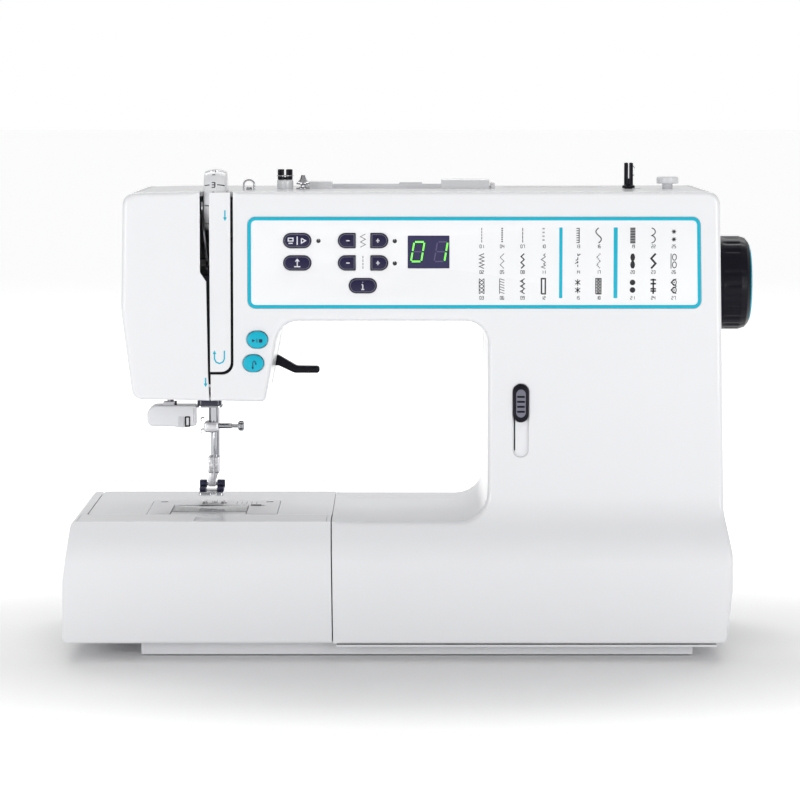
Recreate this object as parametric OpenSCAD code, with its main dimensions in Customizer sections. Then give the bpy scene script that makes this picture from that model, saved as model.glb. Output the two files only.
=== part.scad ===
/* [Overall] */
// Length over the extension tray and the handwheel
overall_l = 439; // [436:1:442]
// Depth of the base, front to back
base_d = 195; // [191:1:197]
// Height of the arm's flat top above the table
arm_top = 292.5; // [291:0.5:294]
// Height of the flat sewing bed above the table
bed_top = 86.3; // [86:0.1:86.6]
// Thickness of the moulded covers
wall = 3; // [2.6:0.1:3.2]
/* [Harp space] */
// Underside of the arm above the table
harp_top = 211.9; // [210:0.5:213]
// Left face of the column
harp_right = 46.5; // [45:0.5:48]
/* [Sewing mechanism] */
// Needle position to the left of the middle of the machine
needle_x = -130; // [-130.3:0.1:-129.7]
// Needle position behind the middle of the machine
needle_y = 10; // [9.7:0.1:10.3]
// Height of the main shaft
shaft_z = 231; // [230:0.5:232]
// Radius of the handwheel
wheel_r = 30.2; // [28:0.2:31]
// Radius of the thread tension dial
dial_r = 19.6; // [18.5:0.1:19.6]
// Distance from the foot's sole to the needle plate, foot raised
foot_lift = 6.3; // [5.8:0.1:6.8]
/* [Controls] */
// Width of a control key
key_w = 17.1; // [16:0.1:17.4]
// Height of a control key
key_h = 9; // [8:0.1:9.2]
// How far the keys stand out of the panel
key_proud = 1; // [0.6:0.1:1.4]
// Length of the speed slider's slot
slider_l = 46.2; // [44:0.2:47]

/* [Hidden] */
$fn = 48;

casing_white = [0.94, 0.94, 0.96];
dark = [0.08, 0.08, 0.10];
steel = [0.75, 0.76, 0.78];
teal = [0.10, 0.72, 0.82];

// Casing: the front lies towards -Y, the tray end towards -X
left_end = -overall_l / 2;
right_end = overall_l / 2;
half_d = base_d / 2;
casing_foot = 10.5;
arm_front = -84;
arm_rear = 68;
part_y = 50;
seam = 0.15;
tray_seam_x = -51.3;
bulge_z = 70;
head_left = -182.7;
arm_right = 190.8;
base_right = 199.6;

// Free arm and the tray round it
free_left = -207.3;
free_front = -48.6;
free_rear = 80.5;
free_foot = 40;
lid_z = bed_top - 2.7;
lid_pin_y = -52;
lid_pin_z = bed_top - 1.4;

// Mechanism
plate_z = bed_top + 0.1;
presser_y = needle_y + 16;
hook_y = needle_y - 17;
crank_r = 14;
crank_face = needle_x + 9.2;
lower_y = 7.3;
lower_z = 54;
motor_y = -30;
motor_z = 120;
timing_x = 130;
drive_x = 149;
foot_z = plate_z + foot_lift;
foot_pin_y = 22;
foot_pin_z = foot_z + 5.3;
take_up_y = -22;
take_up_z = 246;
take_up_x = needle_x - 2.7;
dial_x0 = needle_x - 1.2;
dial_x1 = needle_x + 12.8;
dial_y = -60;
dial_z = arm_top - 6;
lifter_x = -100;
lifter_z = 181;
winder_x = 138.4;
winder_y = -10;
winder_throw = 5;
spool_x = 62;
spool_y = 28;
spool_z = arm_top - 6;
handle_y = -5;
handle_z = arm_top + 0.3;

// Control panel
panel_x0 = -103.6;
panel_x1 = 179.6;
panel_z0 = 219.7;
panel_z1 = 276.9;
panel_t = 1.2;
key_fit = 0.3;
row_1 = 262.1;
row_2 = 248.2;
row_3 = 234;
half_w = 10.6;
slider_x = 67.1;
slider_z0 = 126.4;
slider_w = 10;
socket_z = 44;
jack_r = 1.8;

// ---------- plain shapes placed by their limits ----------
module box(x, y, z) {
    translate([x[0], y[0], z[0]]) cube([x[1] - x[0], y[1] - y[0], z[1] - z[0]]);
}
module cyl_x(x, y, z, r) {
    translate([x[0], y, z]) rotate([0, 90, 0]) cylinder(h = x[1] - x[0], r = r);
}
module cyl_y(x, y, z, r) {
    translate([x, y[1], z]) rotate([90, 0, 0]) cylinder(h = y[1] - y[0], r = r);
}
module cyl_z(x, y, z, r) {
    translate([x, y, z[0]]) cylinder(h = z[1] - z[0], r = r);
}
// a drawing in X and Z, carried along Y
module along_y(y) {
    translate([0, y[1], 0]) rotate([90, 0, 0]) linear_extrude(y[1] - y[0]) children();
}
// a drawing in Y and Z, carried along X
module along_x(x) {
    translate([x[0], 0, 0]) rotate([90, 0, 90]) linear_extrude(x[1] - x[0]) children();
}
// a bar with round ends, seen along Y; left and right say which ends are round
module pill(x, z, w, h, y, left = true, right = true) {
    r = h / 2;
    x0 = x - w / 2;
    x1 = x + w / 2;
    box([left ? x0 + r : x0, right ? x1 - r : x1], y, [z - r, z + r]);
    if (left) cyl_y(x0 + r, y, z, r);
    if (right) cyl_y(x1 - r, y, z, r);
}

// ---------- outlines with rounded corners: each point is [x, z, radius] ----------
function unit(v) = v / norm(v);
function flat(p) = [p[0], p[1]];
function arc(o, s, from, sweep, n) =
    [for (i = [0:n]) o + norm(s) * [cos(from + sweep * i / n), sin(from + sweep * i / n)]];
function corner(a, b, c, r, n) =
    r <= 0 ? [b] :
    let (u = unit(a - b), v = unit(c - b), half = acos(u * v) / 2,
        o = b + unit(u + v) * r / sin(half), s = b + u * r / tan(half) - o,
        e = b + v * r / tan(half) - o, from = atan2(s[1], s[0]),
        sweep = ((atan2(e[1], e[0]) - from + 540) % 360) - 180)
    arc(o, s, from, sweep, n);
function rounded(p, n = 5) =
    [for (i = [0:len(p) - 1])
        each corner(flat(p[(i + len(p) - 1) % len(p)]), flat(p[i]), flat(p[(i + 1) % len(p)]),
            p[i][2], n)];
// how far below the casing's foot an inner outline reaches, so that a shell is open below
function below(t) = t > 0 ? -20 : casing_foot;

// The machine from the front, without the tray; t is the distance inside the outer skin
function casing_outline(t) = rounded([
    [tray_seam_x + t, bed_top - t, 0],
    [harp_right + t, bed_top - t, 18 + t],
    [harp_right + t, harp_top + t, 14 + t],
    [-83.5 - t, harp_top + t, 14 + t],
    [-92.9 - t, 161.3 + t, max(0.5, 3 - t)],
    [-175.6 + t, 162.9 + t, 6],
    [head_left + t, 218, 60],
    [head_left + 1.4 + t, arm_top - t, 8],
    [arm_right - t, arm_top - t, 8],
    [194.6 - t, 92, 40],
    [base_right - t, 66, 20],
    [base_right - t, 44, 20],
    [196 - t, below(t), t > 0 ? 0 : 3],
    [-50.4 + t, below(t), 0]]);
function tray_outline(t) = rounded([
    [-52 - t, bed_top - t, 0],
    [left_end + 5 + t, bed_top - t, 3],
    [left_end + t, 50, 60],
    [left_end + t, casing_foot + t, 4],
    [-51.1 - t, casing_foot + t, 0]]);
// The machine from the side: Y and Z
function side_outline(t) = rounded([
    [-half_d + t, t > 0 ? below(t) : casing_foot, t > 0 ? 0 : 2.5],
    [-half_d + t, bulge_z, 30],
    [arm_front + t, 92, 30],
    [arm_front + t, arm_top - t, 8],
    [arm_rear - t, arm_top - t, 8],
    [arm_rear + 2 - t, 92, 30],
    [half_d - t, bulge_z, 30],
    [half_d - t, t > 0 ? below(t) : casing_foot, t > 0 ? 0 : 2.5]]);
module casing_form(t) {
    intersection() {
        along_y([-120, 120]) polygon(casing_outline(t));
        along_x([-230, 230]) polygon(side_outline(t));
    }
}
module tray_form(t) {
    intersection() {
        along_y([-120, 120]) polygon(tray_outline(t));
        along_x([-230, 0]) polygon(side_outline(t));
    }
}
// Left of the take-up slot, seen from the front
module face_region(gap) {
    polygon([[-200, 300], [-133 + gap, 300], [-133 + gap, 242.5], [-129 + gap, 237],
        [-128.1 + gap, 180], [-127.4 + gap, 150], [-200, 150]]);
}
// Between the two thread slots
module strip_region(gap) {
    polygon(rounded([[-127.5 - gap, 300, 0], [-127.1 - gap, 180 - gap, 0],
        [-114.2 + gap, 180 - gap, 6], [-114.2 + gap, 300, 0]]));
}
module dial_window() {
    box([dial_x0 - 0.5, dial_x1 + 0.5], [dial_y - dial_r - 0.6, dial_y + dial_r + 0.6],
        [arm_top - 12, arm_top + 5]);
}
module head_window() {
    box([-172, -105], [-12, 46], [150, 170]);
}
module top_opening(gap) {
    box([-176.8 - gap, 186.6 + gap], [-74 - gap, 60 + gap], [288.5, 310]);
}
module key_holes(gap) {
    y = [arm_front - 5, arm_front + 10];
    pill(-72.5, row_1, key_w + 2 * gap, key_h + 2 * gap, y);
    pill(-72.5, row_2, key_w + 2 * gap, key_h + 2 * gap, y);
    pill(-31.7, row_3, key_w + 2 * gap, key_h + 2 * gap, y);
    for (z = [row_1, row_2]) {
        pill(-41.7, z, half_w + 2 * gap, key_h + 2 * gap, y, right = false);
        pill(-21.4, z, half_w + 2 * gap, key_h + 2 * gap, y, left = false);
    }
}
module display_hole(gap) {
    box([-3.5 - gap, 22.1 + gap], [arm_front - 5, arm_front + 10], [245 - gap, 265 + gap]);
}

// ---------- fixed pieces ----------
module base_plate() {
    color([0.9, 0.9, 0.92]) difference() {
        union() {
            box([-171.7, 176.1], [-78, 78], [0.8, 9.5]);
            box([tray_seam_x + 3, 190], [3.5 - half_d, half_d - 3.5], [8, 9.5]);
        }
        for (x = [-142, 161], y = [-66, 66]) cyl_z(x, y, [-1, 3.8], 8);
    }
}
module rubber_feet() {
    color(dark) for (x = [-142, 161], y = [-66, 66]) cyl_z(x, y, [0, 3.8], 8);
}
module front_cover() {
    color(casing_white) difference() {
        casing_form(0);
        casing_form(wall);
        box([-230, 230], [part_y - seam, 120], [-10, 300]);
        along_y([-120, 60]) face_region(0.6);
        box([-200, -112.6], [-120, 60], [186, 300]);
        along_y([-120, 60]) strip_region(1.6);
        dial_window();
        top_opening(0.3);
        head_window();
        along_y([arm_front - 1, arm_front + panel_t]) panel_outline(0.15);
        key_holes(key_fit);
        display_hole(0.15);
        pill(-97.6, 200.3, 13.7, 11.4, [-90, -76]);
        pill(-100.1, 185.5, 13.7, 11.4, [-90, -76]);
        slider_slot(arm_front + 2);
        box([slider_x - 1.5, slider_x + 1.5], [-90, -76], [slider_z0 + 8, slider_z0 + 40]);
        cyl_x([180, 205], needle_y, shaft_z, 9);
        box([190, 205], [-20.2, 40.2], [27.8, 60.2]);
        box([-60, -45], [-45.8, 60], [42.6, 83.2]);
        box([-95.9, -78], [20.3, 30.7], [158, 197]);
    }
}
module slider_slot(depth_y) {
    z = slider_z0 + slider_l / 2;
    y = [arm_front - 5, depth_y];
    box([slider_x - slider_w / 2, slider_x + slider_w / 2], y,
        [slider_z0 + slider_w / 2, slider_z0 + slider_l - slider_w / 2]);
    for (s = [-1, 1]) cyl_y(slider_x, y, z + s * (slider_l - slider_w) / 2, slider_w / 2);
}
module rear_cover() {
    color(casing_white) difference() {
        casing_form(0);
        casing_form(wall);
        box([-230, 230], [-120, part_y + seam], [-10, 300]);
        top_opening(0.3);
        box([-60, -45], [0, 78], [42.6, 83.2]);
        for (i = [0:9]) box([78 + i * 9, 82 + i * 9], [50, 100], [120, 150]);
    }
}
module top_cover() {
    tub_x = [spool_x - 6, spool_x + 66];
    hubs = [[-67.6, -51.4, 5.2], [17.4, 49.6, 6.4]];
    color(casing_white) difference() {
        union() {
            intersection() {
                casing_form(0);
                top_opening(0);
            }
            box(tub_x, [17.5, 38.5], [arm_top - 12.5, arm_top - 0.5]);
            for (x = [[-70.6, -67.6], [49.6, 52.6]]) handle_ear(x);
        }
        box([tub_x[0] + 2, tub_x[1] - 2], [20, 36], [arm_top - 10.5, 310]);
        cyl_y(spool_x, [18.2, 37.8], spool_z, 1.25);
        dial_window();
        for (h = hubs) cyl_x([h[0], h[1]], handle_y, handle_z, h[2]);
        cyl_x([-69.6, 51.6], handle_y, handle_z, 1.55);
        box([-65, 41.2], [handle_y - 0.1, 41.4], [arm_top - 2.8, 310]);
        winder_slot();
    }
}
module handle_ear(x) {
    cyl_x(x, handle_y, handle_z, 3.6);
    box(x, [handle_y - 3.6, handle_y + 3.6], [arm_top - 1, handle_z]);
}
module winder_slot() {
    r = 3.6;
    for (s = [0, winder_throw]) cyl_z(winder_x + s, winder_y, [280, 300], r);
    box([winder_x, winder_x + winder_throw], [winder_y - r, winder_y + r], [280, 300]);
}
module face_cover() {
    color(casing_white) difference() {
        intersection() {
            casing_form(0);
            along_y([-120, part_y - seam]) face_region(0);
        }
        casing_form(wall);
        dial_window();
        top_opening(0.3);
        head_window();
    }
}
module thread_strip() {
    color(casing_white) difference() {
        intersection() {
            casing_form(0);
            along_y([-120, -76]) strip_region(0);
        }
        casing_form(wall);
        dial_window();
        top_opening(0.3);
    }
}
module thread_channel() {
    color(dark) difference() {
        box([-141, -109], [arm_front + wall + 0.1, arm_front + wall + 1.4], [172, 264]);
        box([-133.4, -127.3], [-90, -70], [240, 270]);
    }
}
module free_arm_cover() {
    r = 6;
    color(casing_white) difference() {
        linear_extrude_between(free_foot, bed_top) polygon(rounded([
            [free_left, free_front, r], [tray_seam_x - 0.3, free_front, 0],
            [tray_seam_x - 0.3, free_rear, 0], [free_left, free_rear, r]]));
        box([free_left + 2.5, 0], [free_front + 2.5, free_rear - 2.5],
            [free_foot + 2.5, bed_top - 2.5]);
        box([-170.2, -86.8], [-60, 27.2], [bed_top - 1.7, 100]);
        box([-168, -89], [free_front + 2.5, 25], [bed_top - 5, 100]);
    }
}
module linear_extrude_between(z0, z1) {
    translate([0, 0, z0]) linear_extrude(z1 - z0) children();
}
module cast_frame() {
    rail = [42, 48];
    head = [-150, -142];
    color([0.62, 0.64, 0.66]) difference() {
        union() {
            box([-150, 178], rail, [218, 282]);
            box([60, 178], rail, [13, 218]);
            box([-200, 60], rail, [44, 80]);
            box([60, 178], [-40, rail[1]], [9.6, 13]);
            for (x = [[-104, -96], [40, 48], [176, 184]]) box(x, [-6, 42], [218, 262]);
            box(head, [0, 42], [166, 270]);
            box(head, [take_up_y - 8, 0], [236, 256]);
            box([-142, needle_x + 4.8], [3, 31], [225, 235]);
            box([-142, needle_x + 4.8], [3, 31], [165.5, 173]);
            cyl_x([-144, needle_x - 0.8], take_up_y, take_up_z, 2.5);
            box([-163, -150], [4, 16], [185, 192]);
            box([-112, -108], [-66, 42], [276, arm_top - 4.4]);
            box([-104, -96], [34, 42], [174, 220]);
            cyl_y(lifter_x, [presser_y - 5, 38], lifter_z, 1.95);
            cyl_x([dial_x0 + 0.3, -110], dial_y, dial_z, 1.4);
            for (x = [[-148, -142], [-24, -16], [112, 120]]) box(x, [-2, 42], [44, 61.4]);
            box([112, 120], [-2, 42], [12, 44]);
            box([-137, -123], [-15, 42], [42.8, 46.8]);
            box([-137, -123], [36, 42], [42.8, 60]);
            box([126, 129.5], [motor_y - 28, 42], [100, 140]);
        }
        cyl_x([-110, 190], needle_y, shaft_z, 7);
        cyl_x([-150, 125], lower_y, lower_z, 6);
        for (z = [225, 165.5]) {
            cyl_z(needle_x, needle_y, [z - 1, z + 11], 4.3);
            cyl_z(needle_x, presser_y, [z - 1, z + 11], 4.3);
        }
        cyl_z(-158, 10, [180, 200], 2.25);
        cyl_z(needle_x, hook_y, [40, 50], 4.05);
        cyl_x([120, 135], motor_y, motor_z, 10);
    }
}
module bush_x(x, y, z, r_out, r_in) {
    difference() {
        cyl_x(x, y, z, r_out);
        cyl_x([x[0] - 1, x[1] + 1], y, z, r_in);
    }
}
module bush_z(x, y, z, r_out, r_in) {
    difference() {
        cyl_z(x, y, z, r_out);
        cyl_z(x, y, [z[0] - 1, z[1] + 1], r_in);
    }
}
module shaft_bushes() {
    color([0.72, 0.55, 0.3]) {
        for (x = [[-104, -96], [40, 48], [176, 184]]) bush_x(x, needle_y, shaft_z, 7, 4.05);
        for (x = [[-148, -142], [-24, -16], [112, 120]]) bush_x(x, lower_y, lower_z, 6, 3.55);
        for (z = [[225, 235], [165.5, 173]]) {
            bush_z(needle_x, needle_y, z, 4.3, 3.35);
            bush_z(needle_x, presser_y, z, 4.3, 3.05);
        }
    }
}
module needle_plate() {
    slot = [7.5, 25.5];
    color(steel) difference() {
        box([-170, -87], [-48, 27], [plate_z - 1.8, plate_z]);
        box([-155.4, -106.6], [-60, 2.1], [80, 90]);
        pill_z(needle_x, needle_y, 7, 2.4, [80, 90]);
        for (s = [-6, 6]) {
            box([needle_x + s - 1.7, needle_x + s + 1.7], slot, [80, 90]);
        }
        box([needle_x - 1.7, needle_x + 1.7], [14, 25.5], [80, 90]);
        pill_z(-101, 0, 10, 5, [80, 90]);
        for (x = [-163, -94]) cyl_z(x, 20, [plate_z - 0.8, 90], 3);
    }
}
// a slot with round ends, seen from above, its length along X
module pill_z(x, y, w, h, z) {
    r = h / 2;
    box([x - w / 2 + r, x + w / 2 - r], [y - r, y + r], z);
    for (s = [-1, 1]) cyl_z(x + s * (w / 2 - r), y, z, r);
}
module bobbin_case() {
    color(dark) translate([needle_x, hook_y, 0]) difference() {
        cyl_z(0, 0, [66, 83.4], 13.2);
        cyl_z(0, 0, [68, 90], 11.2);
    }
}
module panel_outline(gap) {
    polygon(rounded([[panel_x0 - gap, panel_z0 - gap, 5], [panel_x1 + gap, panel_z0 - gap, 5],
        [panel_x1 - 1 + gap, panel_z1 + gap, 5], [panel_x0 - gap, panel_z1 + gap, 5]]));
}
module control_panel() {
    color([0.96, 0.97, 0.98]) difference() {
        along_y([arm_front - 0.1, arm_front + panel_t - 0.05]) panel_outline(0);
        key_holes(key_fit);
        display_hole(0.15);
    }
}
module display_window() {
    color([0.2, 0.17, 0.35])
        box([-3.5, 22.1], [arm_front - 0.15, arm_front + wall - 0.2], [245, 265]);
}
module circuit_board() {
    board_y = arm_front + 8;
    color([0.1, 0.4, 0.2]) {
        box([-95, 172], [board_y, board_y + 1.6], [222, 274]);
        for (x = [-72.5, -41.7, -21.4], z = [row_1, row_2])
            box([x - 3, x + 3], [board_y - 2, board_y], [z - 3, z + 3]);
        box([-34.7, -28.7], [board_y - 2, board_y], [row_3 - 3, row_3 + 3]);
    }
}
module sewing_lamp() {
    color([1, 0.98, 0.9]) box([-118, -107], [-1, 9], [161.6, 165]);
    color(dark) box([-120, -106], [-3, 11], [165, 168]);
}
module socket_panel() {
    color(dark) difference() {
        union() {
            box([194, base_right + 0.3], [-20, 40], [28, 60]);
            box([184, 195], [-17, 16], [socket_z - 7, socket_z + 7]);
        }
        box([190, 210], [21.6, 34.4], [socket_z - 8.4, socket_z + 8.4]);
        box([186, 210], [-2, 14], [socket_z - 5, socket_z + 5]);
        cyl_x([187.9, 210], -11, socket_z, jack_r);
    }
    color(steel) for (y = [2, 10]) cyl_x([185, base_right - 0.5], y, socket_z, 1.2);
}
module motor_housing() {
    color([0.3, 0.3, 0.32]) difference() {
        cyl_x([76, 126], motor_y, motor_z, 26);
        cyl_x([110, 130], motor_y, motor_z, 3.05);
    }
}
// a belt round two wheels: each wheel is [y, z, radius]
module belt(a, b, x, t) {
    along_x(x) difference() {
        hull() {
            translate([a[0], a[1]]) circle(a[2] + t, $fn = 32);
            translate([b[0], b[1]]) circle(b[2] + t, $fn = 32);
        }
        hull() {
            translate([a[0], a[1]]) circle(a[2], $fn = 32);
            translate([b[0], b[1]]) circle(b[2], $fn = 32);
        }
    }
}
module drive_belts() {
    gap = 0.6;
    color(dark) {
        belt([needle_y, shaft_z, 26 + gap], [motor_y, motor_z, 7 + gap],
            [drive_x + 1, drive_x + 7], 1.3);
        belt([needle_y, shaft_z, 16 + gap], [lower_y, lower_z, 8 + gap],
            [timing_x + 1, timing_x + 9], 1.3);
    }
}
module thread_guides() {
    top = [arm_top, arm_top + 6.8];
    color(steel) {
        cyl_z(-107.6, -40, top, 0.7);
        cyl_z(-101, -40, top, 0.7);
        cyl_x([-107.6, -101], -40, top[1] - 0.7, 0.7);
        cyl_z(-70.5, -20, [arm_top, arm_top + 2.4], 4.4);
        cyl_z(-70.5, -20, [arm_top + 3, arm_top + 4], 4.4);
        cyl_z(-70.5, -20, [arm_top + 2, arm_top + 6], 1.6);
        translate([-70.5, -20, arm_top + 4.6]) cylinder(h = 4.4, r1 = 4.2, r2 = 1);
    }
}
module pretension_post() {
    color(casing_white) cyl_z(-82, -20, [arm_top, arm_top + 6], 5.2);
    color(dark) difference() {
        cyl_z(-82, -20, [arm_top + 6, arm_top + 12.6], 4.8);
        box([-82.5, -81.5], [-30, -10], [arm_top + 7.5, arm_top + 20]);
    }
}
module winder_stopper() {
    x = 163.4;
    color(casing_white) {
        cyl_z(x, winder_y, [arm_top, arm_top + 3], 3.4);
        cyl_z(x, winder_y, [arm_top + 3, arm_top + 7.6], 7.1);
    }
}

// ---------- tray ----------
module extension_tray() {
    color(casing_white) difference() {
        tray_form(0);
        box([free_left - 0.5, 0], [free_front - 0.4, free_rear + 0.4], [free_foot - 0.5, 100]);
        box([-212, -54.5], [-46, 78], [casing_foot + 2.5, 60]);
        intersection() {
            tray_form(2.5);
            box([-212, -54.5], [-100, lid_pin_y + 0.6], [casing_foot + 2.5, 100]);
        }
        intersection() {
            tray_form(2.5);
            box([-212, 0], [free_rear + 3, 120], [casing_foot + 2.5, bed_top - 2.5]);
        }
        box([-211.2, -54.6], [-85.6, free_front], [lid_z - 0.3, 100]);
        box([-211.2, -54.6], [-54, free_front], [bed_top - 5.6, 100]);
        cyl_x([-213.2, -52.9], lid_pin_y, lid_pin_z, 1.25);
    }
}
module tray_lid() {
    color(casing_white) difference() {
        union() {
            box([-211, -54.8], [-85.4, free_front - 0.5], [lid_z, bed_top]);
            cyl_x([-213, -53.1], lid_pin_y, lid_pin_z, 1.2);
        }
        box([-138, -120.5], [-83, -60], [bed_top - 1.3, 100]);
    }
}

// ---------- drive ----------
module handwheel() {
    x0 = 195.2;
    edge = right_end - x0;
    color(dark) translate([x0, needle_y, shaft_z]) rotate([0, 90, 0]) difference() {
        rotate_extrude() polygon([[0, 0], [wheel_r - 2.5, 0], [wheel_r - 0.6, 1.2],
            [wheel_r, 3.5], [wheel_r, edge - 8], [wheel_r - 1.2, edge - 4.5],
            [wheel_r - 4, edge - 2], [wheel_r - 9, edge - 0.7], [0, edge]]);
        cylinder(h = 14.8, r = 4);
        for (a = [0:15:345]) rotate(a) translate([wheel_r + 1.6, 0, 5])
            cylinder(h = edge - 14, r = 2.2);
    }
}
module main_shaft() {
    pin_z = shaft_z + crank_r;
    color(steel) {
        cyl_x([crank_face, 210], needle_y, shaft_z, 4);
        difference() {
            union() {
                cyl_x([crank_face, crank_face + 5.8], needle_y, shaft_z, 18);
                cyl_x([timing_x, timing_x + 10], needle_y, shaft_z, 16);
                cyl_x([drive_x, drive_x + 8], needle_y, shaft_z, 26);
            }
            cyl_x([crank_face - 1, 210], needle_y, shaft_z, 4);
        }
        cyl_x([crank_face - 3.7, crank_face], needle_y, pin_z, 2.5);
    }
}
module motor_pulley() {
    color(steel) {
        cyl_x([111, 160], motor_y, motor_z, 3);
        bush_x([drive_x, drive_x + 8], motor_y, motor_z, 7, 3);
    }
}
module lower_shaft() {
    color(steel) {
        cyl_x([-150, 142], lower_y, lower_z, 3.5);
        bush_x([needle_x - 6.5, needle_x + 6.5], lower_y, lower_z, 6.85, 3.5);
        bush_x([timing_x, timing_x + 10], lower_y, lower_z, 8, 3.5);
    }
}
module rotary_hook() {
    color(steel) translate([needle_x, hook_y, 0]) difference() {
        union() {
            cyl_z(0, 0, [42.8, 50], 4);
            cyl_z(0, 0, [49, 59], 6.85);
            cyl_z(0, 0, [59, 62], 5);
            cyl_z(0, 0, [62, 79], 15.8);
        }
        cyl_z(0, 0, [65, 90], 13.8);
        for (a = [40, 220]) rotate(a) box([12, 17], [-4, 4], [72, 90]);
    }
}
module bobbin() {
    color([0.85, 0.9, 0.95, 0.6]) translate([needle_x, hook_y, 0]) difference() {
        union() {
            cyl_z(0, 0, [68.5, 69.6], 10.4);
            cyl_z(0, 0, [69.6, 78.4], 4.4);
            cyl_z(0, 0, [78.4, 79.5], 10.4);
        }
        cyl_z(0, 0, [60, 90], 3);
    }
}
module bobbin_cover() {
    color([0.8, 0.9, 0.95, 0.5])
        box([-155, -107], [-48, 1.7], [plate_z - 1.6, plate_z - 0.1]);
}
module cover_latch() {
    color(dark) {
        pill_z(-102.1, 0, 7, 4.4, [plate_z - 1.6, plate_z + 0.3]);
        box([-106.4, -98.6], [-3.4, 3.4], [plate_z - 3.4, plate_z - 2.2]);
        box([-104.6, -99.6], [-2.2, 2.2], [plate_z - 2.2, plate_z - 1.6]);
    }
}

// ---------- needle, thread and presser ----------
module needle_bar() {
    clamp_z = [134.5, 140.3];
    color(steel) {
        cyl_z(needle_x, needle_y, [clamp_z[1], 284], 3.3);
        cyl_x([needle_x + 3.4, needle_x + 8.4], needle_y, 205, 3);
        bush_z(needle_x, needle_y, [202, 210], 4.4, 3.3);
        difference() {
            box([needle_x - 5.7, needle_x + 3.4], [4, 15.5], clamp_z);
            cyl_z(needle_x, needle_y, [130, 138], 1.05);
            cyl_x([needle_x, needle_x + 10], needle_y, 137.3, 1.75);
        }
    }
}
module clamp_screw() {
    x = needle_x + 3.6;
    color(steel) {
        cyl_x([x - 2.2, x + 8], needle_y, 137.3, 1.7);
        cyl_x([x + 8, x + 12.4], needle_y, 137.3, 1.2);
        cyl_x([x + 12.4, x + 16.2], needle_y, 137.3, 3.3);
    }
}
module needle() {
    color(steel) {
        cyl_z(needle_x, needle_y, [123, 135], 1);
        cyl_z(needle_x, needle_y, [103, 123], 0.6);
        translate([needle_x, needle_y, 99]) cylinder(h = 4, r1 = 0.1, r2 = 0.6);
    }
}
module take_up_lever() {
    tip = [-54, 37];
    reach = norm(tip);
    lean = atan2(tip[1], tip[0]);
    color(steel) along_x([take_up_x, take_up_x + 1.2])
        translate([take_up_y, take_up_z]) difference() {
            union() {
                circle(5.5);
                rotate(lean) translate([0, -2.4]) square([reach, 4.8]);
                translate(tip) circle(3.2);
            }
            circle(2.55);
            translate(tip) circle(1.3);
        }
}
module presser_bar() {
    shank = [105.7, 116.2];
    color(steel) {
        cyl_z(needle_x, presser_y, [shank[1], 268], 3);
        bush_z(needle_x, presser_y, [196, 204], 5, 3);
        box([needle_x + 4.5, -107], [presser_y - 3, presser_y + 2], [197, 201]);
        box([needle_x - 4.1, needle_x + 3.1], [presser_y - 7.4, presser_y + 4], shank);
        difference() {
            box([-134.4, -129.2], [foot_pin_y - 3, foot_pin_y + 4], [foot_z + 3.2, shank[0]]);
            cyl_x([-140, -120], foot_pin_y, foot_pin_z, 1.3);
        }
    }
}
module presser_foot() {
    sole_z = [foot_z, foot_z + 2];
    ears = [[-139.5, -135], [-128.6, -123.5]];
    color([0.55, 0.56, 0.6]) {
        difference() {
            box([-139.5, -123.5], [-1.5, 24.6], sole_z);
            pill_z(needle_x, needle_y, 9, 3, [80, 110]);
            box([-131.3, -128.7], [-10, 4], [80, 110]);
        }
        for (x = ears) {
            cyl_x(x, foot_pin_y, foot_pin_z, 2.7);
            box(x, [foot_pin_y - 2.2, foot_pin_y + 2.2], [sole_z[1], foot_pin_z - 1]);
        }
        cyl_x([ears[0][1], ears[1][0]], foot_pin_y, foot_pin_z, 1.2);
    }
}
module lifter_lever() {
    y = [presser_y - 4, presser_y + 3];
    color(dark) difference() {
        union() {
            cyl_y(lifter_x, y, lifter_z, 6);
            along_y(y) polygon([[-104, 186.5], [-88, 182.6], [-76, 175.6], [-61.2, 175.4],
                [-61.2, 170.9], [-77.6, 170.9], [-88, 175.8], [-102, 176]]);
        }
        cyl_y(lifter_x, [0, 50], lifter_z, 2);
    }
}
module needle_threader() {
    color(casing_white) {
        box([-169, -141], [2, 18], [137.7, 151.4]);
        cyl_y(-169, [2, 18], 147.4, 4);
        cyl_y(-169, [2, 18], 141.7, 4);
        box([-173, -169], [2, 18], [141.7, 147.4]);
        cyl_z(-158, 10, [151.4, 216], 2.2);
    }
}
module buttonhole_lever() {
    color(casing_white) {
        box([-168, -161], [30, 33], [166, 235]);
        box([-168, -161], [26, 33], [163, 166]);
    }
}

// ---------- controls ----------
module key_piece(x, z, w, left = true, right = true) {
    cap = [arm_front - key_proud - 0.1, arm_front + wall + 0.5];
    flange = [cap[1], cap[1] + 1];
    color(dark) {
        pill(x, z, w, key_h, cap, left, right);
        box([x - w / 2 - 0.8, x + w / 2 + 0.8], flange, [z - 4.9, z + 4.9]);
    }
}
module needle_key() { key_piece(-72.5, row_1, key_w); }
module lock_key() { key_piece(-72.5, row_2, key_w); }
module select_key() { key_piece(-31.7, row_3, key_w); }
module width_minus_key() { key_piece(-41.7, row_1, half_w, right = false); }
module width_plus_key() { key_piece(-21.4, row_1, half_w, left = false); }
module length_minus_key() { key_piece(-41.7, row_2, half_w, right = false); }
module length_plus_key() { key_piece(-21.4, row_2, half_w, left = false); }
module round_button(x, z) {
    color(teal) {
        pill(x, z, 13.1, 10.8, [arm_front - 2.4, arm_front + wall + 1]);
        pill(x, z, 14.2, 11.8, [arm_front + wall + 1, arm_front + wall + 2]);
    }
}
module start_button() { round_button(-97.6, 200.3); }
module reverse_button() { round_button(-100.1, 185.5); }
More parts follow.
